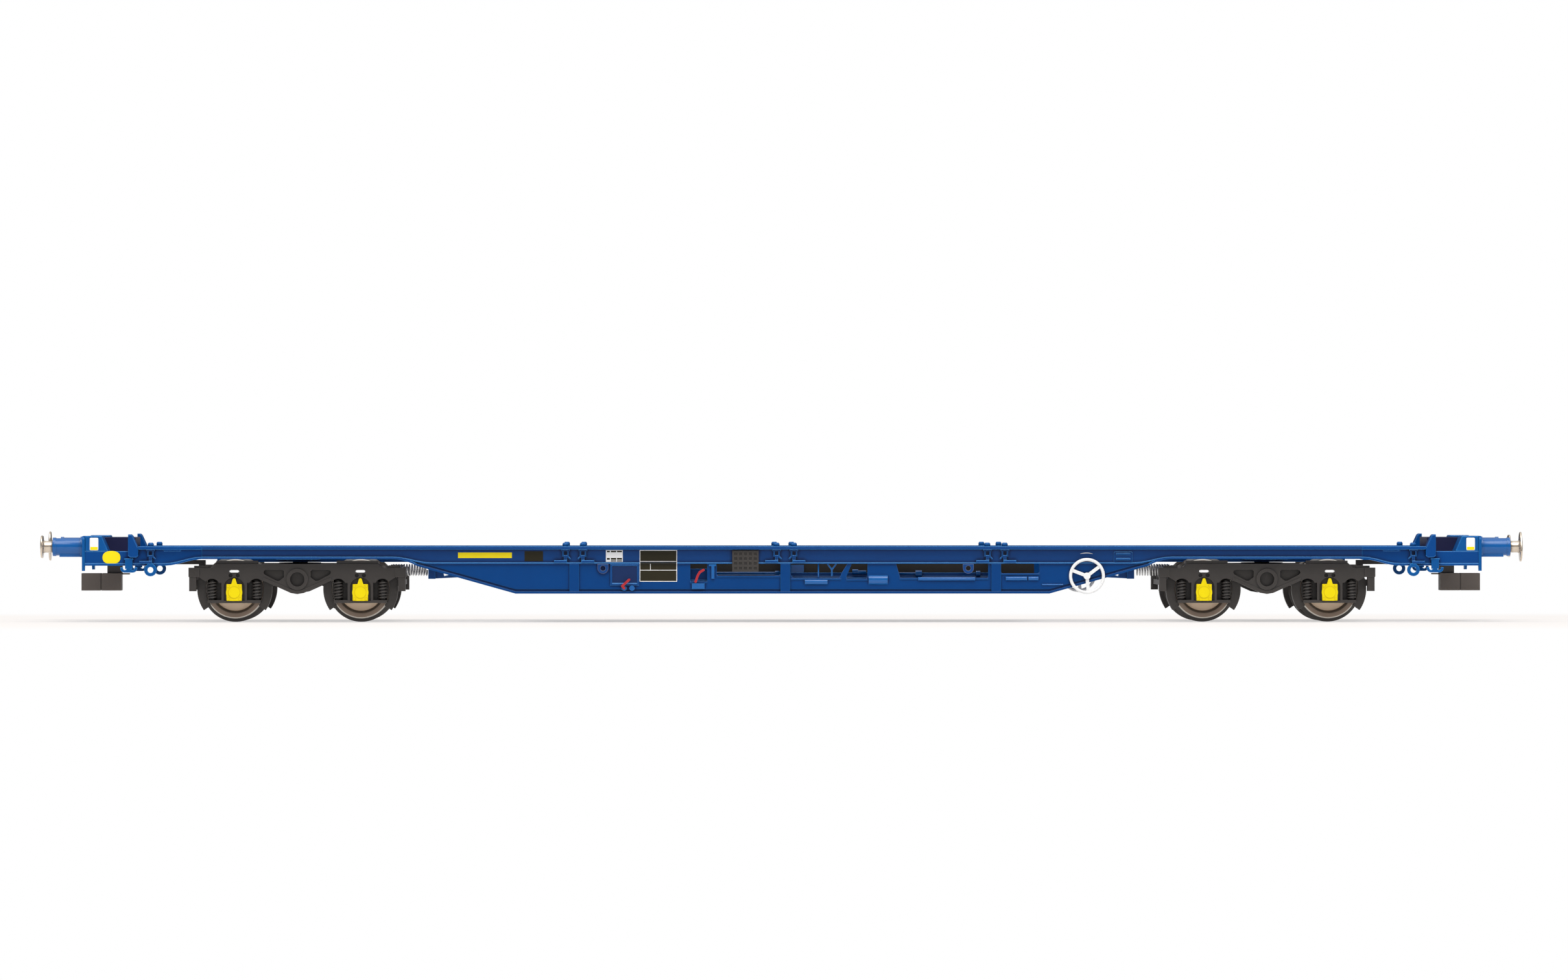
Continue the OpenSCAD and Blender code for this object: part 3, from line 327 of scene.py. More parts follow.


# finishes: colour, broad tint, colour of edge wear with a painted edge highlight, colour of the painted shade in
# corners and grooves, strength of that painted shade, range of roughness, metal, specular, grain height, dust, strength
# of the edge wear and highlight; some also have the reach of the edges (width in mm), the colour of a painted highlight
# on upper edges, glow (light of their own) or rings (colours of a wheel's face instead of one colour)
finishes = {
    "bluePaint": {"colour": (0.002, 0.056, 0.232), "tint": (0.003, 0.044, 0.192), "edge": (0.02, 0.24, 0.58),
                  "groove": (0.006, 0.007, 0.042), "wash": 0.97, "rough": (0.26, 0.36), "metal": 0.0, "spec": 0.22,
                  "bump": 0.10, "dust": 0.03, "edgeBreak": 0.8, "edgeReach": 0.17, "crest": (0.11, 0.38, 0.84)},
    "brightBlue": {"colour": (0.0, 0.112, 0.385), "tint": (0.0, 0.092, 0.335), "edge": (0.03, 0.28, 0.62),
                   "groove": (0.004, 0.016, 0.090), "wash": 0.6, "rough": (0.20, 0.28), "metal": 0.0, "spec": 0.55,
                   "bump": 0.08, "dust": 0.03, "edgeBreak": 0.7},
    "midBlue": {"colour": (0.0005, 0.092, 0.325), "tint": (0.001, 0.078, 0.285), "edge": (0.02, 0.25, 0.58),
                "groove": (0.003, 0.014, 0.080), "wash": 0.65, "rough": (0.28, 0.38), "metal": 0.0, "spec": 0.18,
                "bump": 0.10, "dust": 0.02, "edgeBreak": 0.75, "edgeReach": 0.15, "crest": (0.08, 0.36, 0.80)},
    # a dark navy for the end boxes: painted shade, the shadow they sit in
    "endBoxShadeNavy": {"colour": (0.010, 0.012, 0.062), "tint": (0.008, 0.009, 0.045), "edge": (0.02, 0.07, 0.24),
                  "groove": (0.003, 0.004, 0.02), "wash": 0.5, "rough": (0.45, 0.55), "metal": 0.0, "spec": 0.3,
                  "bump": 0.10, "dust": 0.03, "edgeBreak": 0.5},
    "blackPlastic": {"colour": (0.046, 0.039, 0.035), "tint": (0.034, 0.029, 0.026), "edge": (0.15, 0.13, 0.115),
                     "groove": (0.004, 0.004, 0.004), "wash": 0.8, "rough": (0.40, 0.54), "metal": 0.0, "spec": 0.5,
                     "bump": 0.20, "dust": 0.08, "edgeBreak": 0.6},
    "greyPlastic": {"colour": (0.130, 0.107, 0.091), "tint": (0.100, 0.083, 0.071), "edge": (0.20, 0.17, 0.145),
                    "groove": (0.012, 0.011, 0.010), "wash": 0.8, "rough": (0.46, 0.6), "metal": 0.0, "spec": 0.4,
                    "bump": 0.22, "dust": 0.08, "edgeBreak": 0.6},
    "yellowPaint": {"colour": (0.93, 0.76, 0.0), "tint": (0.90, 0.69, 0.0), "edge": (1.0, 0.88, 0.02),
                    "groove": (0.42, 0.24, 0.002), "wash": 0.8, "rough": (0.36, 0.48), "metal": 0.0, "spec": 0.18,
                    "bump": 0.14, "dust": 0.0, "edgeBreak": 0.4},
    "redPaint": {"colour": (0.46, 0.012, 0.020), "tint": (0.38, 0.010, 0.016), "edge": (0.70, 0.10, 0.12),
                 "groove": (0.16, 0.006, 0.01), "wash": 0.6, "rough": (0.30, 0.42), "metal": 0.0, "spec": 0.5,
                 "bump": 0.10, "dust": 0.02, "edgeBreak": 0.6},
    "whitePaint": {"colour": (0.90, 0.90, 0.89), "tint": (0.84, 0.84, 0.84), "edge": (0.95, 0.95, 0.95),
                   "groove": (0.40, 0.39, 0.38), "wash": 0.4, "rough": (0.36, 0.48), "metal": 0.0, "spec": 0.4,
                   "bump": 0.08, "dust": 0.02, "edgeBreak": 0.3},
    "wheelMetal": {"tint": (0.90, 0.88, 0.85), "edge": (0.55, 0.47, 0.38), "rings": True,
                   "groove": (0.012, 0.010, 0.008), "wash": 0.3, "rough": (0.34, 0.50), "metal": 0.0, "spec": 0.6,
                   "bump": 0.60, "dust": 0.0, "edgeBreak": 0.2},
    "axleSteel": {"colour": (0.40, 0.40, 0.41), "tint": (0.30, 0.30, 0.31), "edge": (0.7, 0.7, 0.7),
                  "groove": (0.05, 0.05, 0.05), "wash": 0.5, "rough": (0.28, 0.38), "metal": 0.9, "spec": 0.5,
                  "bump": 0.06, "dust": 0.03, "edgeBreak": 0.5},
    "bufferMetal": {"colour": (0.80, 0.70, 0.58), "tint": (0.62, 0.51, 0.40), "edge": (0.95, 0.90, 0.82),
                    "groove": (0.10, 0.07, 0.045), "wash": 0.7, "rough": (0.20, 0.32), "metal": 0.75, "spec": 0.5,
                    "bump": 0.05, "dust": 0.0, "edgeBreak": 0.6},
    "springSteel": {"colour": (0.90, 0.89, 0.87), "tint": (0.74, 0.73, 0.71), "edge": (0.95, 0.95, 0.95),
                    "groove": (0.16, 0.15, 0.14), "wash": 0.5, "rough": (0.20, 0.30), "metal": 0.6, "spec": 0.5,
                    "bump": 0.03, "dust": 0.0, "edgeBreak": 0.4},
    "printBlack": {"colour": (0.023, 0.018, 0.005), "tint": (0.019, 0.015, 0.004), "edge": (0.05, 0.04, 0.02),
                   "groove": (0.01, 0.008, 0.004), "wash": 0.2, "rough": (0.42, 0.5), "metal": 0.0, "spec": 0.3,
                   "bump": 0.05, "dust": 0.0, "edgeBreak": 0.1},
    "printWhite": {"colour": (0.93, 0.93, 0.93), "tint": (0.88, 0.88, 0.88), "edge": (0.95, 0.95, 0.95),
                   "groove": (0.7, 0.7, 0.7), "wash": 0.2, "rough": (0.40, 0.5), "metal": 0.0, "spec": 0.3,
                   "bump": 0.05, "dust": 0.0, "edgeBreak": 0.1},
    # the slot plates glow: painted light standing in for the white background seen through the slots
    "paleSlot": {"colour": (0.95, 0.95, 0.95), "tint": (0.90, 0.90, 0.90), "edge": (0.95, 0.95, 0.95),
                 "groove": (0.8, 0.8, 0.8), "wash": 0.1, "rough": (0.5, 0.6), "metal": 0.0, "spec": 0.2,
                 "bump": 0.05, "dust": 0.0, "edgeBreak": 0.0, "glow": 0.7},
    "printYellow": {"colour": (0.98, 0.78, 0.001), "tint": (0.95, 0.74, 0.001), "edge": (1.0, 0.84, 0.02),
                    "groove": (0.6, 0.4, 0.002), "wash": 0.2, "rough": (0.40, 0.5), "metal": 0.0, "spec": 0.3,
                    "bump": 0.05, "dust": 0.0, "edgeBreak": 0.1},
    # navy patch colour: painted shade for the access panel's recess
    "printNavy": {"colour": (0.005, 0.026, 0.112), "tint": (0.005, 0.022, 0.096), "edge": (0.02, 0.06, 0.22),
                  "groove": (0.004, 0.008, 0.05), "wash": 0.5, "rough": (0.34, 0.44), "metal": 0.0, "spec": 0.25,
                  "bump": 0.08, "dust": 0.0, "edgeBreak": 0.2},
    "ballastBlack": {"colour": (0.020, 0.017, 0.015), "tint": (0.014, 0.012, 0.010), "edge": (0.06, 0.05, 0.04),
                     "groove": (0.004, 0.004, 0.004), "wash": 0.7, "rough": (0.55, 0.68), "metal": 0.0, "spec": 0.3,
                     "bump": 0.2, "dust": 0.05, "edgeBreak": 0.4},
}
# the lower webs are a slightly darker blue, shine less and have dimmer painted edge highlights, the ends are a clearer
# blue, the lashing eyes have edge wear and a painted highlight on their upper edges
finishes["bellyPaint"] = {**finishes["bluePaint"], "colour": (0.0005, 0.054, 0.224), "tint": (0.001, 0.043, 0.186),
                          "edge": (0.012, 0.12, 0.33), "crest": (0.05, 0.12, 0.31), "spec": 0.14}
finishes["endPaint"] = {**finishes["bluePaint"], "colour": (0.0005, 0.062, 0.262), "tint": (0.001, 0.051, 0.226),
                        "spec": 0.14}
finishes["eyePaint"] = {**finishes["bluePaint"], "edge": (0.20, 0.175, 0.16), "crest": (0.13, 0.16, 0.22),
                        "edgeBreak": 1.0, "edgeReach": 0.24}


def makeFinish(name, finish=None, middle=(0, 0, 0)):
    look = finishes[finish or name]
    material = bpy.data.materials.new(name)
    material.use_nodes = True
    tree = material.node_tree
    tree.nodes.clear()
    link = tree.links.new
    shader = tree.nodes.new("ShaderNodeBsdfPrincipled")
    out = tree.nodes.new("ShaderNodeOutputMaterial")
    link(shader.outputs[0], out.inputs[0])
    grain = placeGroup(tree, mouldGrain)
    edge = placeGroup(tree, paintEdge, Radius=look.get("edgeReach", edgeReach) * mm, Break=look["edgeBreak"])
    dust = placeGroup(tree, settledDust, Amount=look["dust"])
    wash = placeGroup(tree, grooveWash, Strength=look["wash"])
    if look.get("rings"):
        rings = placeGroup(tree, ringColours, Middle=middle)
        mottled = mixColour(tree, grain.outputs["Broad"], rings.outputs["Color"], look["tint"], "MULTIPLY")
    else:
        mottled = mixColour(tree, grain.outputs["Broad"], look["colour"], look["tint"])
    # corners and grooves darken by the cavity mask: painted shade where light would not reach
    cavityShaded = mixColour(tree, wash.outputs["Mask"], mottled, look["groove"])
    # edges take the edge colour: wear on the edges and a painted highlight where edges catch the light
    wornAndLit = mixColour(tree, edge.outputs["Mask"], cavityShaded, look["edge"])
    # upper edges take the upper-edge colour: a painted highlight where overhead light would catch them
    if look.get("crest"):
        wornAndLit = mixColour(tree, edge.outputs["Crest"], wornAndLit, look["crest"])
    dusty = mixColour(tree, dust.outputs["Mask"], wornAndLit, dustColour)
    link(dusty, shader.inputs["Base Color"])
    rough = tree.nodes.new("ShaderNodeMapRange")
    rough.inputs["To Min"].default_value, rough.inputs["To Max"].default_value = look["rough"]
    link(grain.outputs["Broad"], rough.inputs["Value"])
    link(rough.outputs["Result"], shader.inputs["Roughness"])
    shader.inputs["Metallic"].default_value = look["metal"]
    shader.inputs["Specular IOR Level"].default_value = look["spec"]
    if look.get("glow"):
        shader.inputs["Emission Color"].default_value = (1, 1, 1, 1)
        shader.inputs["Emission Strength"].default_value = look["glow"]
    bump = tree.nodes.new("ShaderNodeBump")
    bump.inputs["Strength"].default_value = look["bump"]
    bump.inputs["Distance"].default_value = grainDepth
    link(grain.outputs["Fine"], bump.inputs["Height"])
    link(bump.outputs["Normal"], shader.inputs["Normal"])
    return material


materials = {name: makeFinish(name) for name in finishes if not finishes[name].get("rings")}
print("finishes made:", ", ".join(materials))

# which finish each CAD node takes, by its slot in the record or by name
slotFinish = {"blue": "bluePaint", "black": "blackPlastic", "yellow": "yellowPaint", "red": "redPaint",
              "white": "whitePaint", "wheel_metal": "wheelMetal", "axle_steel": "axleSteel",
              "buffer_metal": "bufferMetal", "spring_steel": "springSteel", "ballast": "ballastBlack"}
brightNodes = ("buffer_housings", "brake_cylinders", "brake_pipes", "panel_valves")
midNodes = ("rope_hooks", "tie_rings", "corner_blocks", "headstocks", "spigots")
# the end boxes take the dark navy of painted shade
nodeFinish = {"end_boxes": "endBoxShadeNavy", "bogie_left_pocket": "greyPlastic", "bogie_right_pocket": "greyPlastic",
              "lashing_eyes": "eyePaint", "belly_near": "bellyPaint", "belly_far": "bellyPaint",
              "girder_ends": "endPaint", "container_guides": "endPaint",
              **{name: "brightBlue" for name in brightNodes}, **{name: "midBlue" for name in midNodes}}
rounding = {"weld": 0.002 * mm, "width": 0.05 * mm, "segments": 2, "angle": math.radians(38),
            "wider": {"headstocks": 0.16 * mm, "corner_blocks": 0.14 * mm, "container_guides": 0.14 * mm,
                      "tie_rings": 0.09 * mm, "rope_hooks": 0.09 * mm}}
plainNodes = ("spring_left", "spring_right")  # replaced by wound springs below


def dressNodes():
    for entry in frame["record"]["subparts"]:
        name = entry["node"]
        node = nodes[name]
        finish = nodeFinish.get(name, slotFinish[entry["material_slot"]])
        node.data.materials.clear()
        if finishes[finish].get("rings"):
            corners = np.array([vertex.co for vertex in node.data.vertices])
            middle = (corners.min(axis=0) + corners.max(axis=0)) / 2
            node.data.materials.append(makeFinish(finish + name[-1], finish, tuple(middle.tolist())))
        else:
            node.data.materials.append(materials[finish])
        if name in plainNodes:
            continue
        weld = node.modifiers.new("weld", "WELD")
        weld.merge_threshold = rounding["weld"]
        bevel = node.modifiers.new("roundEdges", "BEVEL")
        bevel.width = rounding["wider"].get(name, rounding["width"])
        bevel.segments = rounding["segments"]
        bevel.limit_method = "ANGLE"
        bevel.angle_limit = rounding["angle"]
        bevel.harden_normals = False


dressNodes()
print("CAD nodes dressed")


# mesh helpers: grids of two parameters, worked out as whole arrays
def meshFromGrid(name, points, closeU=False, closeV=False, capEnds=False):
    # points has the shape (rows, columns, 3); neighbours are joined by quads
    rows, columns = points.shape[:2]
    index = np.arange(rows * columns).reshape(rows, columns)
    u = np.concatenate([index, index[:1]]) if closeU else index
    uv = np.concatenate([u, u[:, :1]], axis=1) if closeV else u
    quads = np.stack([uv[:-1, :-1], uv[1:, :-1], uv[1:, 1:], uv[:-1, 1:]], axis=-1).reshape(-1, 4)
    faces = quads.tolist()
    if capEnds:
        faces += [index[0].tolist(), index[-1][::-1].tolist()]
    mesh = bpy.data.meshes.new(name)
    mesh.from_pydata(points.reshape(-1, 3).tolist(), [], faces)
    mesh.update()
    piece = bpy.data.objects.new(name, mesh)
    bpy.context.scene.collection.objects.link(piece)
    mesh.polygons.foreach_set("use_smooth", np.ones(len(mesh.polygons), bool))
    return piece


# coil springs between each bogie and its bracket: a wire circle carried along a helix
coilSpring = {"radius": 1.15 * mm, "wire": 0.13 * mm, "turns": 13, "perTurn": 28, "sides": 8}


def makeCoil(name, node, bogie):
    low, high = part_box(node)
    x0, x1 = low.x, high.x
    y0, z0 = (low.y + high.y) / 2, (low.z + high.z) / 2
    turns, wire, radius = coilSpring["turns"], coilSpring["wire"], coilSpring["radius"]
    t = np.linspace(0, 1, turns * coilSpring["perTurn"] + 1)[:, None]
    turn = 2 * math.pi * turns * t
    a = np.linspace(0, 2 * math.pi, coilSpring["sides"], endpoint=False)[None, :]
    # helix x = x0 + t * length, angle = 2 pi turns t; the wire circle lies in the radial plane
    reach = radius - wire + wire * np.cos(a)
    along = x0 + wire + (x1 - x0 - 2 * wire) * t + wire * np.sin(a)
    points = np.stack([along, y0 + reach * np.cos(turn), z0 + reach * np.sin(turn)], axis=-1)
    piece = meshFromGrid(name, points, closeV=True, capEnds=True)
    piece.data.materials.append(materials["springSteel"])
    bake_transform(piece)
    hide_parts(node)
    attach(piece, bogie)


makeCoil("coilSpringLeft", "spring_left", "bogie_left")
makeCoil("coilSpringRight", "spring_right", "bogie_right")
print("coil springs wound")

# bogie springs: eight wire helices on each bogie, between the axlebox wings and the frame's arches
pivotX = {"bogie_left": -92.0, "bogie_right": 92.0}
axleX = 11.95  # axles from the pivot
bogieSpring = {"offset": 4.2, "side": 13.2, "low": 4.2, "high": 8.0, "radius": 0.9, "wire": 0.17,
               "turns": 6.5, "perTurn": 24, "sides": 8, "closeUp": 0.3, "core": 0.55, "coreSides": 16}


def makeBogieSprings(bogie):
    s = bogieSpring
    t = np.linspace(0, 1, int(s["turns"] * s["perTurn"]) + 1)[:, None]
    turn = 2 * math.pi * s["turns"] * t
    a = np.linspace(0, 2 * math.pi, s["sides"], endpoint=False)[None, :]
    # helix z = low + climb * height, the end turns close up by a smooth step; the wire circle lies in the radial plane
    climb = (1 - s["closeUp"]) * t + s["closeUp"] * t * t * (3 - 2 * t)
    rise = s["low"] + s["wire"] + (s["high"] - s["low"] - 2 * s["wire"]) * climb
    reach = s["radius"] - s["wire"] + s["wire"] * np.cos(a)
    wire = np.stack([reach * np.cos(turn), reach * np.sin(turn), rise + s["wire"] * np.sin(a)], axis=-1)
    # the guide pin inside: a round rod with a softened end, radius by height
    level = np.array([0.0, 0.0, 0.06, 0.94, 1.0, 1.0])[:, None]
    girth = np.array([0.0, 0.8, 1.0, 1.0, 0.8, 0.0])[:, None] * s["core"]
    b = np.linspace(0, 2 * math.pi, s["coreSides"], endpoint=False)[None, :]
    height = s["low"] + (s["high"] - s["low"]) * level + 0 * b
    pin = np.stack([girth * np.cos(b), girth * np.sin(b), height], axis=-1)
    vertices, faces = [], []
    for ax in (-axleX, axleX):
        for dx in (-s["offset"], s["offset"]):
            for y in (-s["side"], s["side"]):
                for grid in (wire, pin):
                    joinGrid(vertices, faces, grid + np.array([pivotX[bogie] + ax + dx, y, 0.0]))
    piece = meshFromLists("springs" + bogie[6:].title(), vertices, faces)
    piece.data.materials.append(materials["blackPlastic"])
    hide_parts(bogie + "_springs")
    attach(piece, bogie)


# buffer heads: shank, fillet, and an oval head with a low dome
bufferHead = {"side": 11.35, "height": 14.3, "back": 135.55, "face": 140.85, "shank": 1.1, "thick": 0.34, "fillet": 0.5,
              "halfWide": 2.8, "halfHigh": 2.15, "power": 2.6, "dome": 0.2, "around": 72,
              "turns": {(1, -1): 65, (-1, 1): 90}}  # end, side: angle in degrees


def makeBufferHeads():
    s = bufferHead
    a = np.linspace(0, 2 * math.pi, s["around"], endpoint=False)[None, :]
    thick = s["thick"]
    plate = s["face"] - s["dome"] - thick
    # rows from the hidden end to the middle of the face: place along X, share of the oval, shank radius left
    fillet = s["fillet"]
    shankRows = [(s["back"], 0.0, 0.0), (s["back"], 0.0, 1.0), (plate - fillet, 0.0, 1.0)]
    filletRows = [(plate - fillet * (1 - f), 0.0, 1.0 + fillet * (1 - math.sqrt(1 - f * f)))
                  for f in np.linspace(0, 1, 7)[1:]]
    rimRows = [(plate + thick * f, share, 0.0)
               for f, share in ((0, 0.95), (0.1, 0.985), (0.3, 1.0), (0.7, 1.0), (0.9, 0.99))]
    low = plate + thick
    domeRows = [(low + (s["face"] - low) * (1 - f * f), 0.97 * f, 0.0) for f in np.linspace(1, 0, 9)]
    rows = np.array(shankRows + filletRows + rimRows + domeRows)
    vertices, faces = [], []
    for ex in (-1, 1):
        for sy in (-1, 1):
            b = a - math.radians(s["turns"].get((ex, sy), 0))
            # oval outline: |y/w|^p + |z/h|^p = 1 as a radius by angle
            oval = (np.abs(np.cos(b) / s["halfWide"]) ** s["power"]
                    + np.abs(np.sin(b) / s["halfHigh"]) ** s["power"]) ** (-1 / s["power"])
            reach = rows[:, 1:2] * oval + rows[:, 2:3] * s["shank"]
            grid = np.stack([ex * (rows[:, 0:1] + 0 * a), sy * s["side"] + reach * np.cos(a),
                             s["height"] + reach * np.sin(a)], axis=-1)
            joinGrid(vertices, faces, grid, flip=ex > 0)
    piece = meshFromLists("bufferHeads", vertices, faces)
    piece.data.materials.append(materials["bufferMetal"])
    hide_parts("buffer_heads")
    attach(piece, "wagon")


def joinGrid(vertices, faces, grid, flip=False):
    # adds a grid that closes round its second parameter
    rows, columns = grid.shape[:2]
    start = sum(len(block) for block in vertices)
    index = np.arange(rows * columns).reshape(rows, columns) + start
    ring = np.concatenate([index, index[:, :1]], axis=1)
    quads = np.stack([ring[:-1, :-1], ring[:-1, 1:], ring[1:, 1:], ring[1:, :-1]], axis=-1).reshape(-1, 4)
    vertices.append(grid.reshape(-1, 3))
    faces.append(quads[:, ::-1] if flip else quads)


def meshFromLists(name, vertices, faces):
    mesh = bpy.data.meshes.new(name)
    mesh.from_pydata((np.concatenate(vertices) * mm).tolist(), [], np.concatenate(faces).tolist())
    mesh.update()
    mesh.polygons.foreach_set("use_smooth", np.ones(len(mesh.polygons), bool))
    piece = bpy.data.objects.new(name, mesh)
    bpy.context.scene.collection.objects.link(piece)
    return piece


for bogieName in pivotX:
    makeBogieSprings(bogieName)
makeBufferHeads()
print("bogie springs and buffer heads made")

# prints on the girders, all blank: left, bottom, right, top in mm, the face they lie on, lift, finish
printFaces = {"upper": 15.6, "lower": 15.75, "ledge": 16.05, "recess": 15.85}
girderPrints = {
    "panelUpper": (-27.1, 11.36, -20.0, 13.7, "upper", 0.015, "printBlack"),
    "panelLower": (-27.1, 7.72, -20.0, 11.1, "lower", 0.015, "printBlack"),
    "panelLedge": (-27.1, 11.12, -20.0, 11.33, "ledge", 0.015, "printBlack"),
    "ruleLeftLedge": (-27.1, 11.12, -26.98, 11.33, "ledge", 0.025, "printWhite"),
    "ruleRightLedge": (-20.12, 11.12, -20.0, 11.33, "ledge", 0.025, "printWhite"),
    "ruleTop": (-27.1, 13.58, -20.0, 13.7, "upper", 0.025, "printWhite"),
    "ruleUnder": (-26.98, 11.49, -20.12, 11.6, "upper", 0.025, "printWhite"),
    "ruleMiddle": (-26.98, 9.84, -20.12, 9.95, "lower", 0.025, "printWhite"),
    "ruleFoot": (-27.1, 7.72, -20.0, 7.84, "lower", 0.025, "printWhite"),
    "ruleLeftUp": (-27.1, 11.36, -26.98, 13.58, "upper", 0.025, "printWhite"),
    "ruleRightUp": (-20.12, 11.36, -20.0, 13.58, "upper", 0.025, "printWhite"),
    "ruleLeftLow": (-27.1, 7.84, -26.98, 11.1, "lower", 0.025, "printWhite"),
    "ruleRightLow": (-20.12, 7.84, -20.0, 11.1, "lower", 0.025, "printWhite"),
    "ruleColumn": (-25.1, 9.95, -25.0, 11.1, "lower", 0.025, "printWhite"),
    "table": (-33.5, 11.45, -30.3, 13.7, "upper", 0.015, "printWhite"),
    "cellA": (-33.3, 13.3, -32.75, 13.58, "upper", 0.025, "printBlack"),
    "cellB": (-32.55, 13.3, -31.55, 13.58, "upper", 0.025, "printBlack"),
    "cellC": (-31.4, 13.3, -30.45, 13.58, "upper", 0.025, "printBlack"),
    "cellD": (-33.3, 11.88, -32.75, 12.22, "upper", 0.025, "printBlack"),
    "cellE": (-32.55, 11.88, -31.55, 12.22, "upper", 0.025, "printBlack"),
    "cellF": (-31.4, 11.88, -30.45, 12.22, "upper", 0.025, "printBlack"),
    "cellG": (-32.55, 11.56, -31.55, 11.76, "upper", 0.025, "printBlack"),
    "cellH": (-31.4, 11.56, -30.45, 11.76, "upper", 0.025, "printBlack"),
    "yellowBand": (-61.5, 12.2, -51.3, 13.25, "upper", 0.02, "printYellow"),
    "darkPlate": (-48.9, 11.6, -45.4, 13.5, "upper", 0.02, "printBlack"),
    # a navy patch on the access panel's recessed face: painted shade in the recess
    "accessField": (-32.3, 7.53, -27.6, 10.72, "recess", 0.015, "printNavy"),
}


def makePrints():
    order = ["printBlack", "printWhite", "printYellow", "printNavy"]
    table = np.array([(*corners, printFaces[face] + lift, order.index(finish))
                      for *corners, face, lift, finish in girderPrints.values()])
    x0, z0, x1, z1, y, kind = table.T
    near = np.stack([np.stack([x, -y, z], -1) for x, z in ((x0, z0), (x1, z0), (x1, z1), (x0, z1))], axis=1)
    far = (near * np.array([1, -1, 1]))[:, ::-1]  # the same places on the far side, turned to face out
    points = np.concatenate([near, far]).reshape(-1, 3)
    mesh = bpy.data.meshes.new("girderPrints")
    mesh.from_pydata((points * mm).tolist(), [], np.arange(len(points)).reshape(-1, 4).tolist())
    mesh.update()
    mesh.polygons.foreach_set("material_index", np.tile(kind, 2).astype(np.int32))
    piece = bpy.data.objects.new("girderPrints", mesh)
    bpy.context.scene.collection.objects.link(piece)
    for name in order:
        mesh.materials.append(materials[name])
    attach(piece, "wagon")


# small plates with softened edges on the upper face: middle, half sizes, corner power, thickness, finish
plateSeat = 0.005  # gap between face and plate
plates = {
    "ovalPlate": ((-127.1, 12.3), (1.7, 1.25), 2.3, 0.06, "printYellow"),
    "cornerPlateLeft": ((-130.4, 14.85), (0.82, 1.2), 12.0, 0.06, "printWhite"),
    "cornerPlateRight": ((130.6, 14.85), (0.82, 1.2), 12.0, 0.06, "printWhite"),
    "cornerFootLeft": ((-130.4, 14.02), (0.7, 0.3), 12.0, 0.09, "printYellow"),
    "cornerFootRight": ((130.6, 14.02), (0.7, 0.3), 12.0, 0.09, "printYellow"),
}


def makePlate(name):
    (x, z), (halfX, halfZ), power, thick, finish = plates[name]
    a = np.linspace(0, 2 * math.pi, 64, endpoint=False)[None, :]
    c, d = np.cos(a), np.sin(a)
    # outline: |x/w|^p + |z/h|^p = 1 as a radius by angle
    edge = (np.abs(c / halfX) ** power + np.abs(d / halfZ) ** power) ** (-1 / power)
    # rows from the back of the rim to the middle of the face: share of the outline, height off the face
    rows = np.array([(1.0, 0.0), (1.0, 0.6), (0.985, 0.9), (0.96, 1.0), (0.5, 1.0), (0.0, 1.0)])
    out = printFaces["upper"] + plateSeat + rows[:, 1:2] * thick + 0 * a
    vertices, faces = [], []
    for s in (-1, 1):  # near side, and the far side turned half round
        reach = rows[:, 0:1] * edge
        joinGrid(vertices, faces, np.stack([-s * (x + reach * c), s * out, z + reach * d], axis=-1))
    piece = meshFromLists(name, vertices, faces)
    piece.data.materials.append(materials[finish])
    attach(piece, "wagon")


# white arc over each handwheel: a thin ring sector, narrower towards its ends
wheelArc = {"at": (57.65, 8.6), "radius": 4.55, "width": 0.16, "from": 75, "to": 105, "face": 15.62,
            "steps": 25, "taper": 0.25}


def makeArc():
    w = wheelArc
    a = np.radians(np.linspace(w["from"], w["to"], w["steps"]))[:, None]
    # radius r = radius +- width / 2 * sin(b), with b from the taper to pi less the taper
    swell = np.sin(np.linspace(w["taper"], math.pi - w["taper"], w["steps"]))[:, None]
    r = w["radius"] + w["width"] * np.array([-0.5, 0.5])[None, :] * swell
    x, z = w["at"][0] + r * np.cos(a), w["at"][1] + r * np.sin(a)
    rows = np.stack([np.stack([x, 0 * r + s * w["face"], z], -1) for s in (-1, 1)])
    index = np.arange(rows[..., 0].size).reshape(rows.shape[:3])
    quads = np.stack([index[:, :-1, :-1], index[:, :-1, 1:], index[:, 1:, 1:], index[:, 1:, :-1]], -1)
    quads = quads.reshape(2, -1, 4)
    quads[1] = quads[1][:, ::-1]  # the far side faces out too
    piece = meshFromLists("wheelArcs", [rows.reshape(-1, 3)], [quads.reshape(-1, 4)])
    piece.data.materials.append(materials["printWhite"])
    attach(piece, "wagon")


# blue shelves behind the openings of the lower web: left and right end, and the outline of the section (y, z)
openingShelf = {
    "gear": {"ends": [(0.9, 17.0), (20.9, 40.0)],
             "section": [(14.76, 8.2), (14.76, 8.42), (12.75, 8.5), (12.4, 8.75), (12.25, 9.4), (11.9, 9.4),
                         (12.0, 8.2)]},
    "lever": {"ends": [(-17.9, -13.9)],
              "section": [(14.76, 7.7), (14.76, 7.9), (14.1, 8.05), (13.9, 10.15), (13.6, 10.15), (13.7, 7.7)]},
}


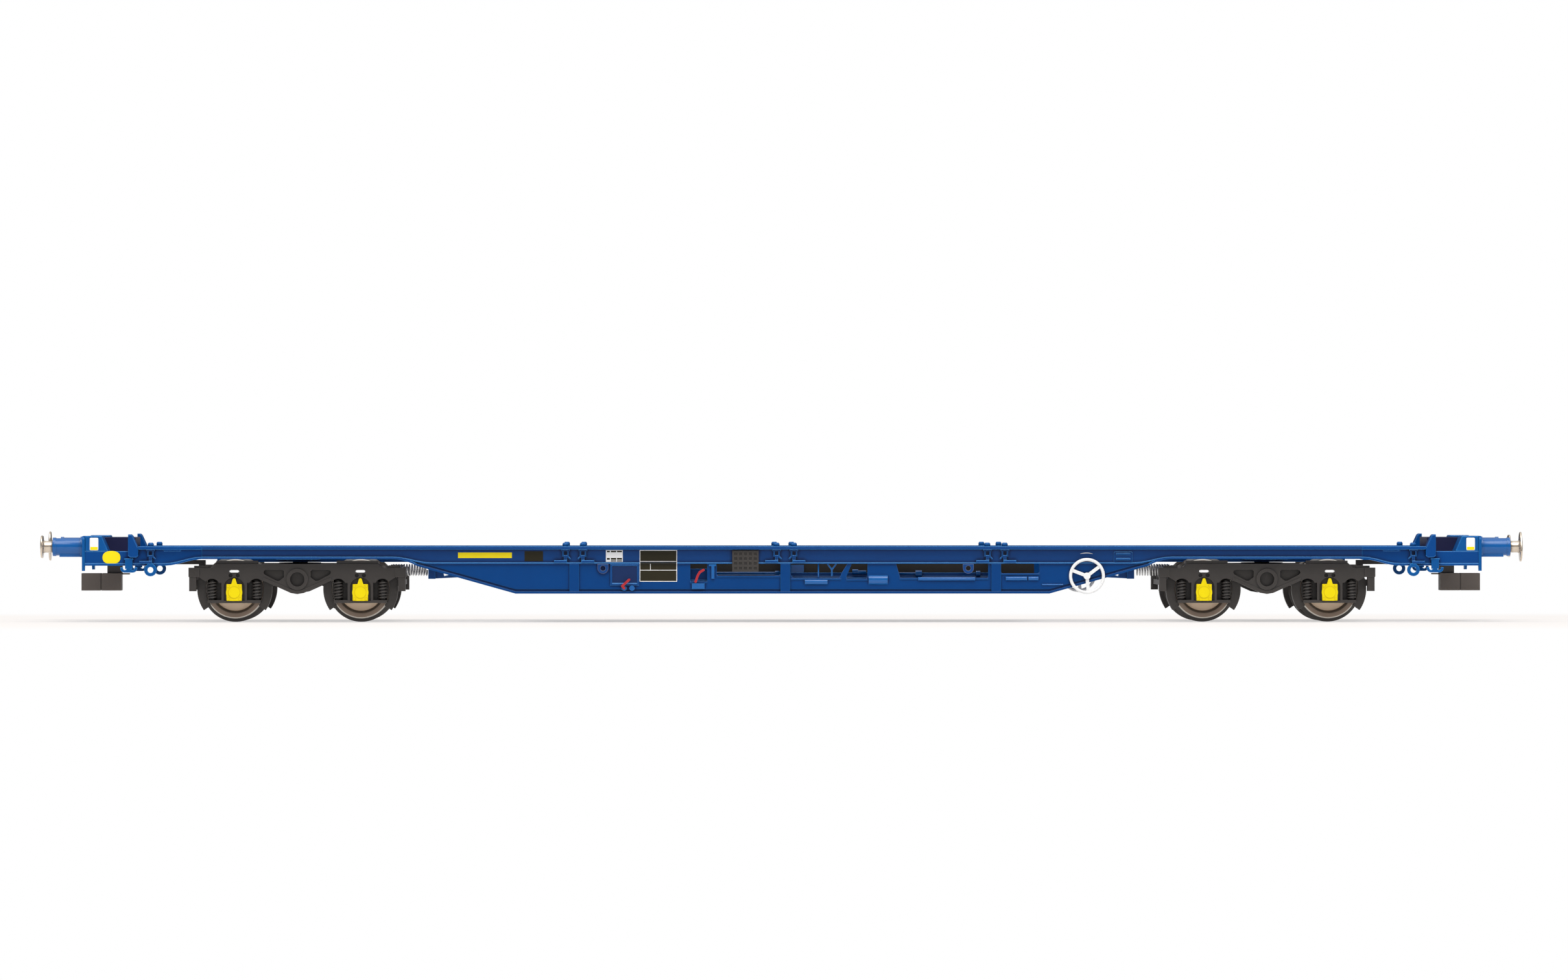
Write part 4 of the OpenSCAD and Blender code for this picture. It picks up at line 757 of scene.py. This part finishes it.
def makeShelves():
    vertices, faces = [], []
    share = np.array([0, 1, 1, 0])[:, None]  # the end rows close on the middle of the section
    for shelf in openingShelf.values():
        section = np.array(shelf["section"])
        middle = section.mean(axis=0)
        y = middle[0] + share * (section[None, :, 0] - middle[0])
        z = middle[1] + share * (section[None, :, 1] - middle[1])
        for left, right in shelf["ends"]:
            x = np.array([left, left, right, right])[:, None] + 0 * y
            for side in (-1, 1):
                joinGrid(vertices, faces, np.stack([x, side * y, z], axis=-1), flip=side < 0)
    piece = meshFromLists("openingShelves", vertices, faces)
    piece.data.polygons.foreach_set("use_smooth", np.zeros(len(piece.data.polygons), bool))
    piece.data.materials.append(materials["bluePaint"])
    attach(piece, "wagon")


# pale plates in the slots over the axleboxes, glowing as painted light that stands in for the white background showing
# through the slots
slotFloor = {"half": 0.9, "low": 9.44, "high": 9.9, "side": 13.7}


def makeSlotFloors(bogie):
    s = slotFloor
    # a rectangle with its corners cut off, as shares of the half length and of the height
    along = np.array([-1, -0.72, 0.72, 1, 1, 0.72, -0.72, -1])
    up = np.array([0.25, 0, 0, 0.25, 0.75, 1, 1, 0.75])[None, :]
    x = pivotX[bogie] + np.array([-axleX, axleX])[:, None] + s["half"] * along
    z = s["low"] + (s["high"] - s["low"]) * up + 0 * x
    near = np.stack([x, 0 * x - s["side"], z], axis=-1)
    far = (near * np.array([1, -1, 1]))[:, ::-1]
    points = np.concatenate([near, far]).reshape(-1, 3)
    piece = meshFromLists("slotFloors" + bogie[6:].title(), [points], [np.arange(len(points)).reshape(-1, 8)])
    piece.data.materials.append(materials["paleSlot"])
    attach(piece, bogie)


makePrints()
for plateName in plates:
    makePlate(plateName)
makeArc()
makeShelves()
for bogieName in pivotX:
    makeSlotFloors(bogieName)
print("plates and prints laid on")

# floor: pale, keeps the shadow near the wagon, fades to plain white further off both ways, and is clear from below;
# bounce is its colour for the light it throws back, seen its colour in the picture, glow the tint of its own light,
# least the share of that light under the wagon
floorLook = {"bounce": (0.94, 0.92, 0.90), "seen": (0.83, 0.775, 0.735), "glow": (1.0, 0.985, 0.975),
             "half": (3.0, 2.0), "fadeX": (0.13, 0.24), "fadeY": (0.05, 0.12), "least": 0.5}


def addFloor():
    halfX, halfY = floorLook["half"]
    u, v = np.meshgrid(np.linspace(-halfX, halfX, 3), np.linspace(-halfY, halfY, 3), indexing="ij")
    floor = meshFromGrid("studioFloor", np.stack([u, v, np.zeros_like(u)], axis=-1))
    material = bpy.data.materials.new("paleFloor")
    material.use_nodes = True
    tree = material.node_tree
    tree.nodes.clear()
    link = tree.links.new
    coords = tree.nodes.new("ShaderNodeTexCoord")
    fades = []
    for axis, least in (("X", 0.0), ("Y", floorLook["least"])):
        away = addMath(tree, "ABSOLUTE", axisOf(tree, coords.outputs["Object"], axis))
        part = tree.nodes.new("ShaderNodeMapRange")
        part.interpolation_type = "SMOOTHSTEP"
        part.inputs["From Min"].default_value, part.inputs["From Max"].default_value = floorLook["fade" + axis]
        part.inputs["To Min"].default_value = least
        link(away, part.inputs["Value"])
        fades.append(part.outputs["Result"])
    fade = addMath(tree, "MAXIMUM", *fades)
    path = tree.nodes.new("ShaderNodeLightPath")
    seen = addMath(tree, "MAXIMUM", path.outputs["Is Camera Ray"], path.outputs["Is Glossy Ray"])
    white = addMath(tree, "MULTIPLY", fade, seen)
    paint = tree.nodes.new("ShaderNodeBsdfDiffuse")
    shade = mixColour(tree, path.outputs["Is Camera Ray"], floorLook["bounce"], floorLook["seen"])
    link(shade, paint.inputs["Color"])
    plain = tree.nodes.new("ShaderNodeEmission")
    link(mixColour(tree, fade, floorLook["glow"], (1.0, 1.0, 1.0)), plain.inputs["Color"])
    mix = tree.nodes.new("ShaderNodeMixShader")
    out = tree.nodes.new("ShaderNodeOutputMaterial")
    link(white, mix.inputs[0])
    link(paint.outputs[0], mix.inputs[1])
    link(plain.outputs[0], mix.inputs[2])
    geometry = tree.nodes.new("ShaderNodeNewGeometry")
    clear = tree.nodes.new("ShaderNodeBsdfTransparent")  # seen from below, so that the underside shows
    both = tree.nodes.new("ShaderNodeMixShader")
    link(geometry.outputs["Backfacing"], both.inputs[0])
    link(mix.outputs[0], both.inputs[1])
    link(clear.outputs[0], both.inputs[2])
    link(both.outputs[0], out.inputs[0])
    floor.data.materials.append(material)


addFloor()
print("floor laid")
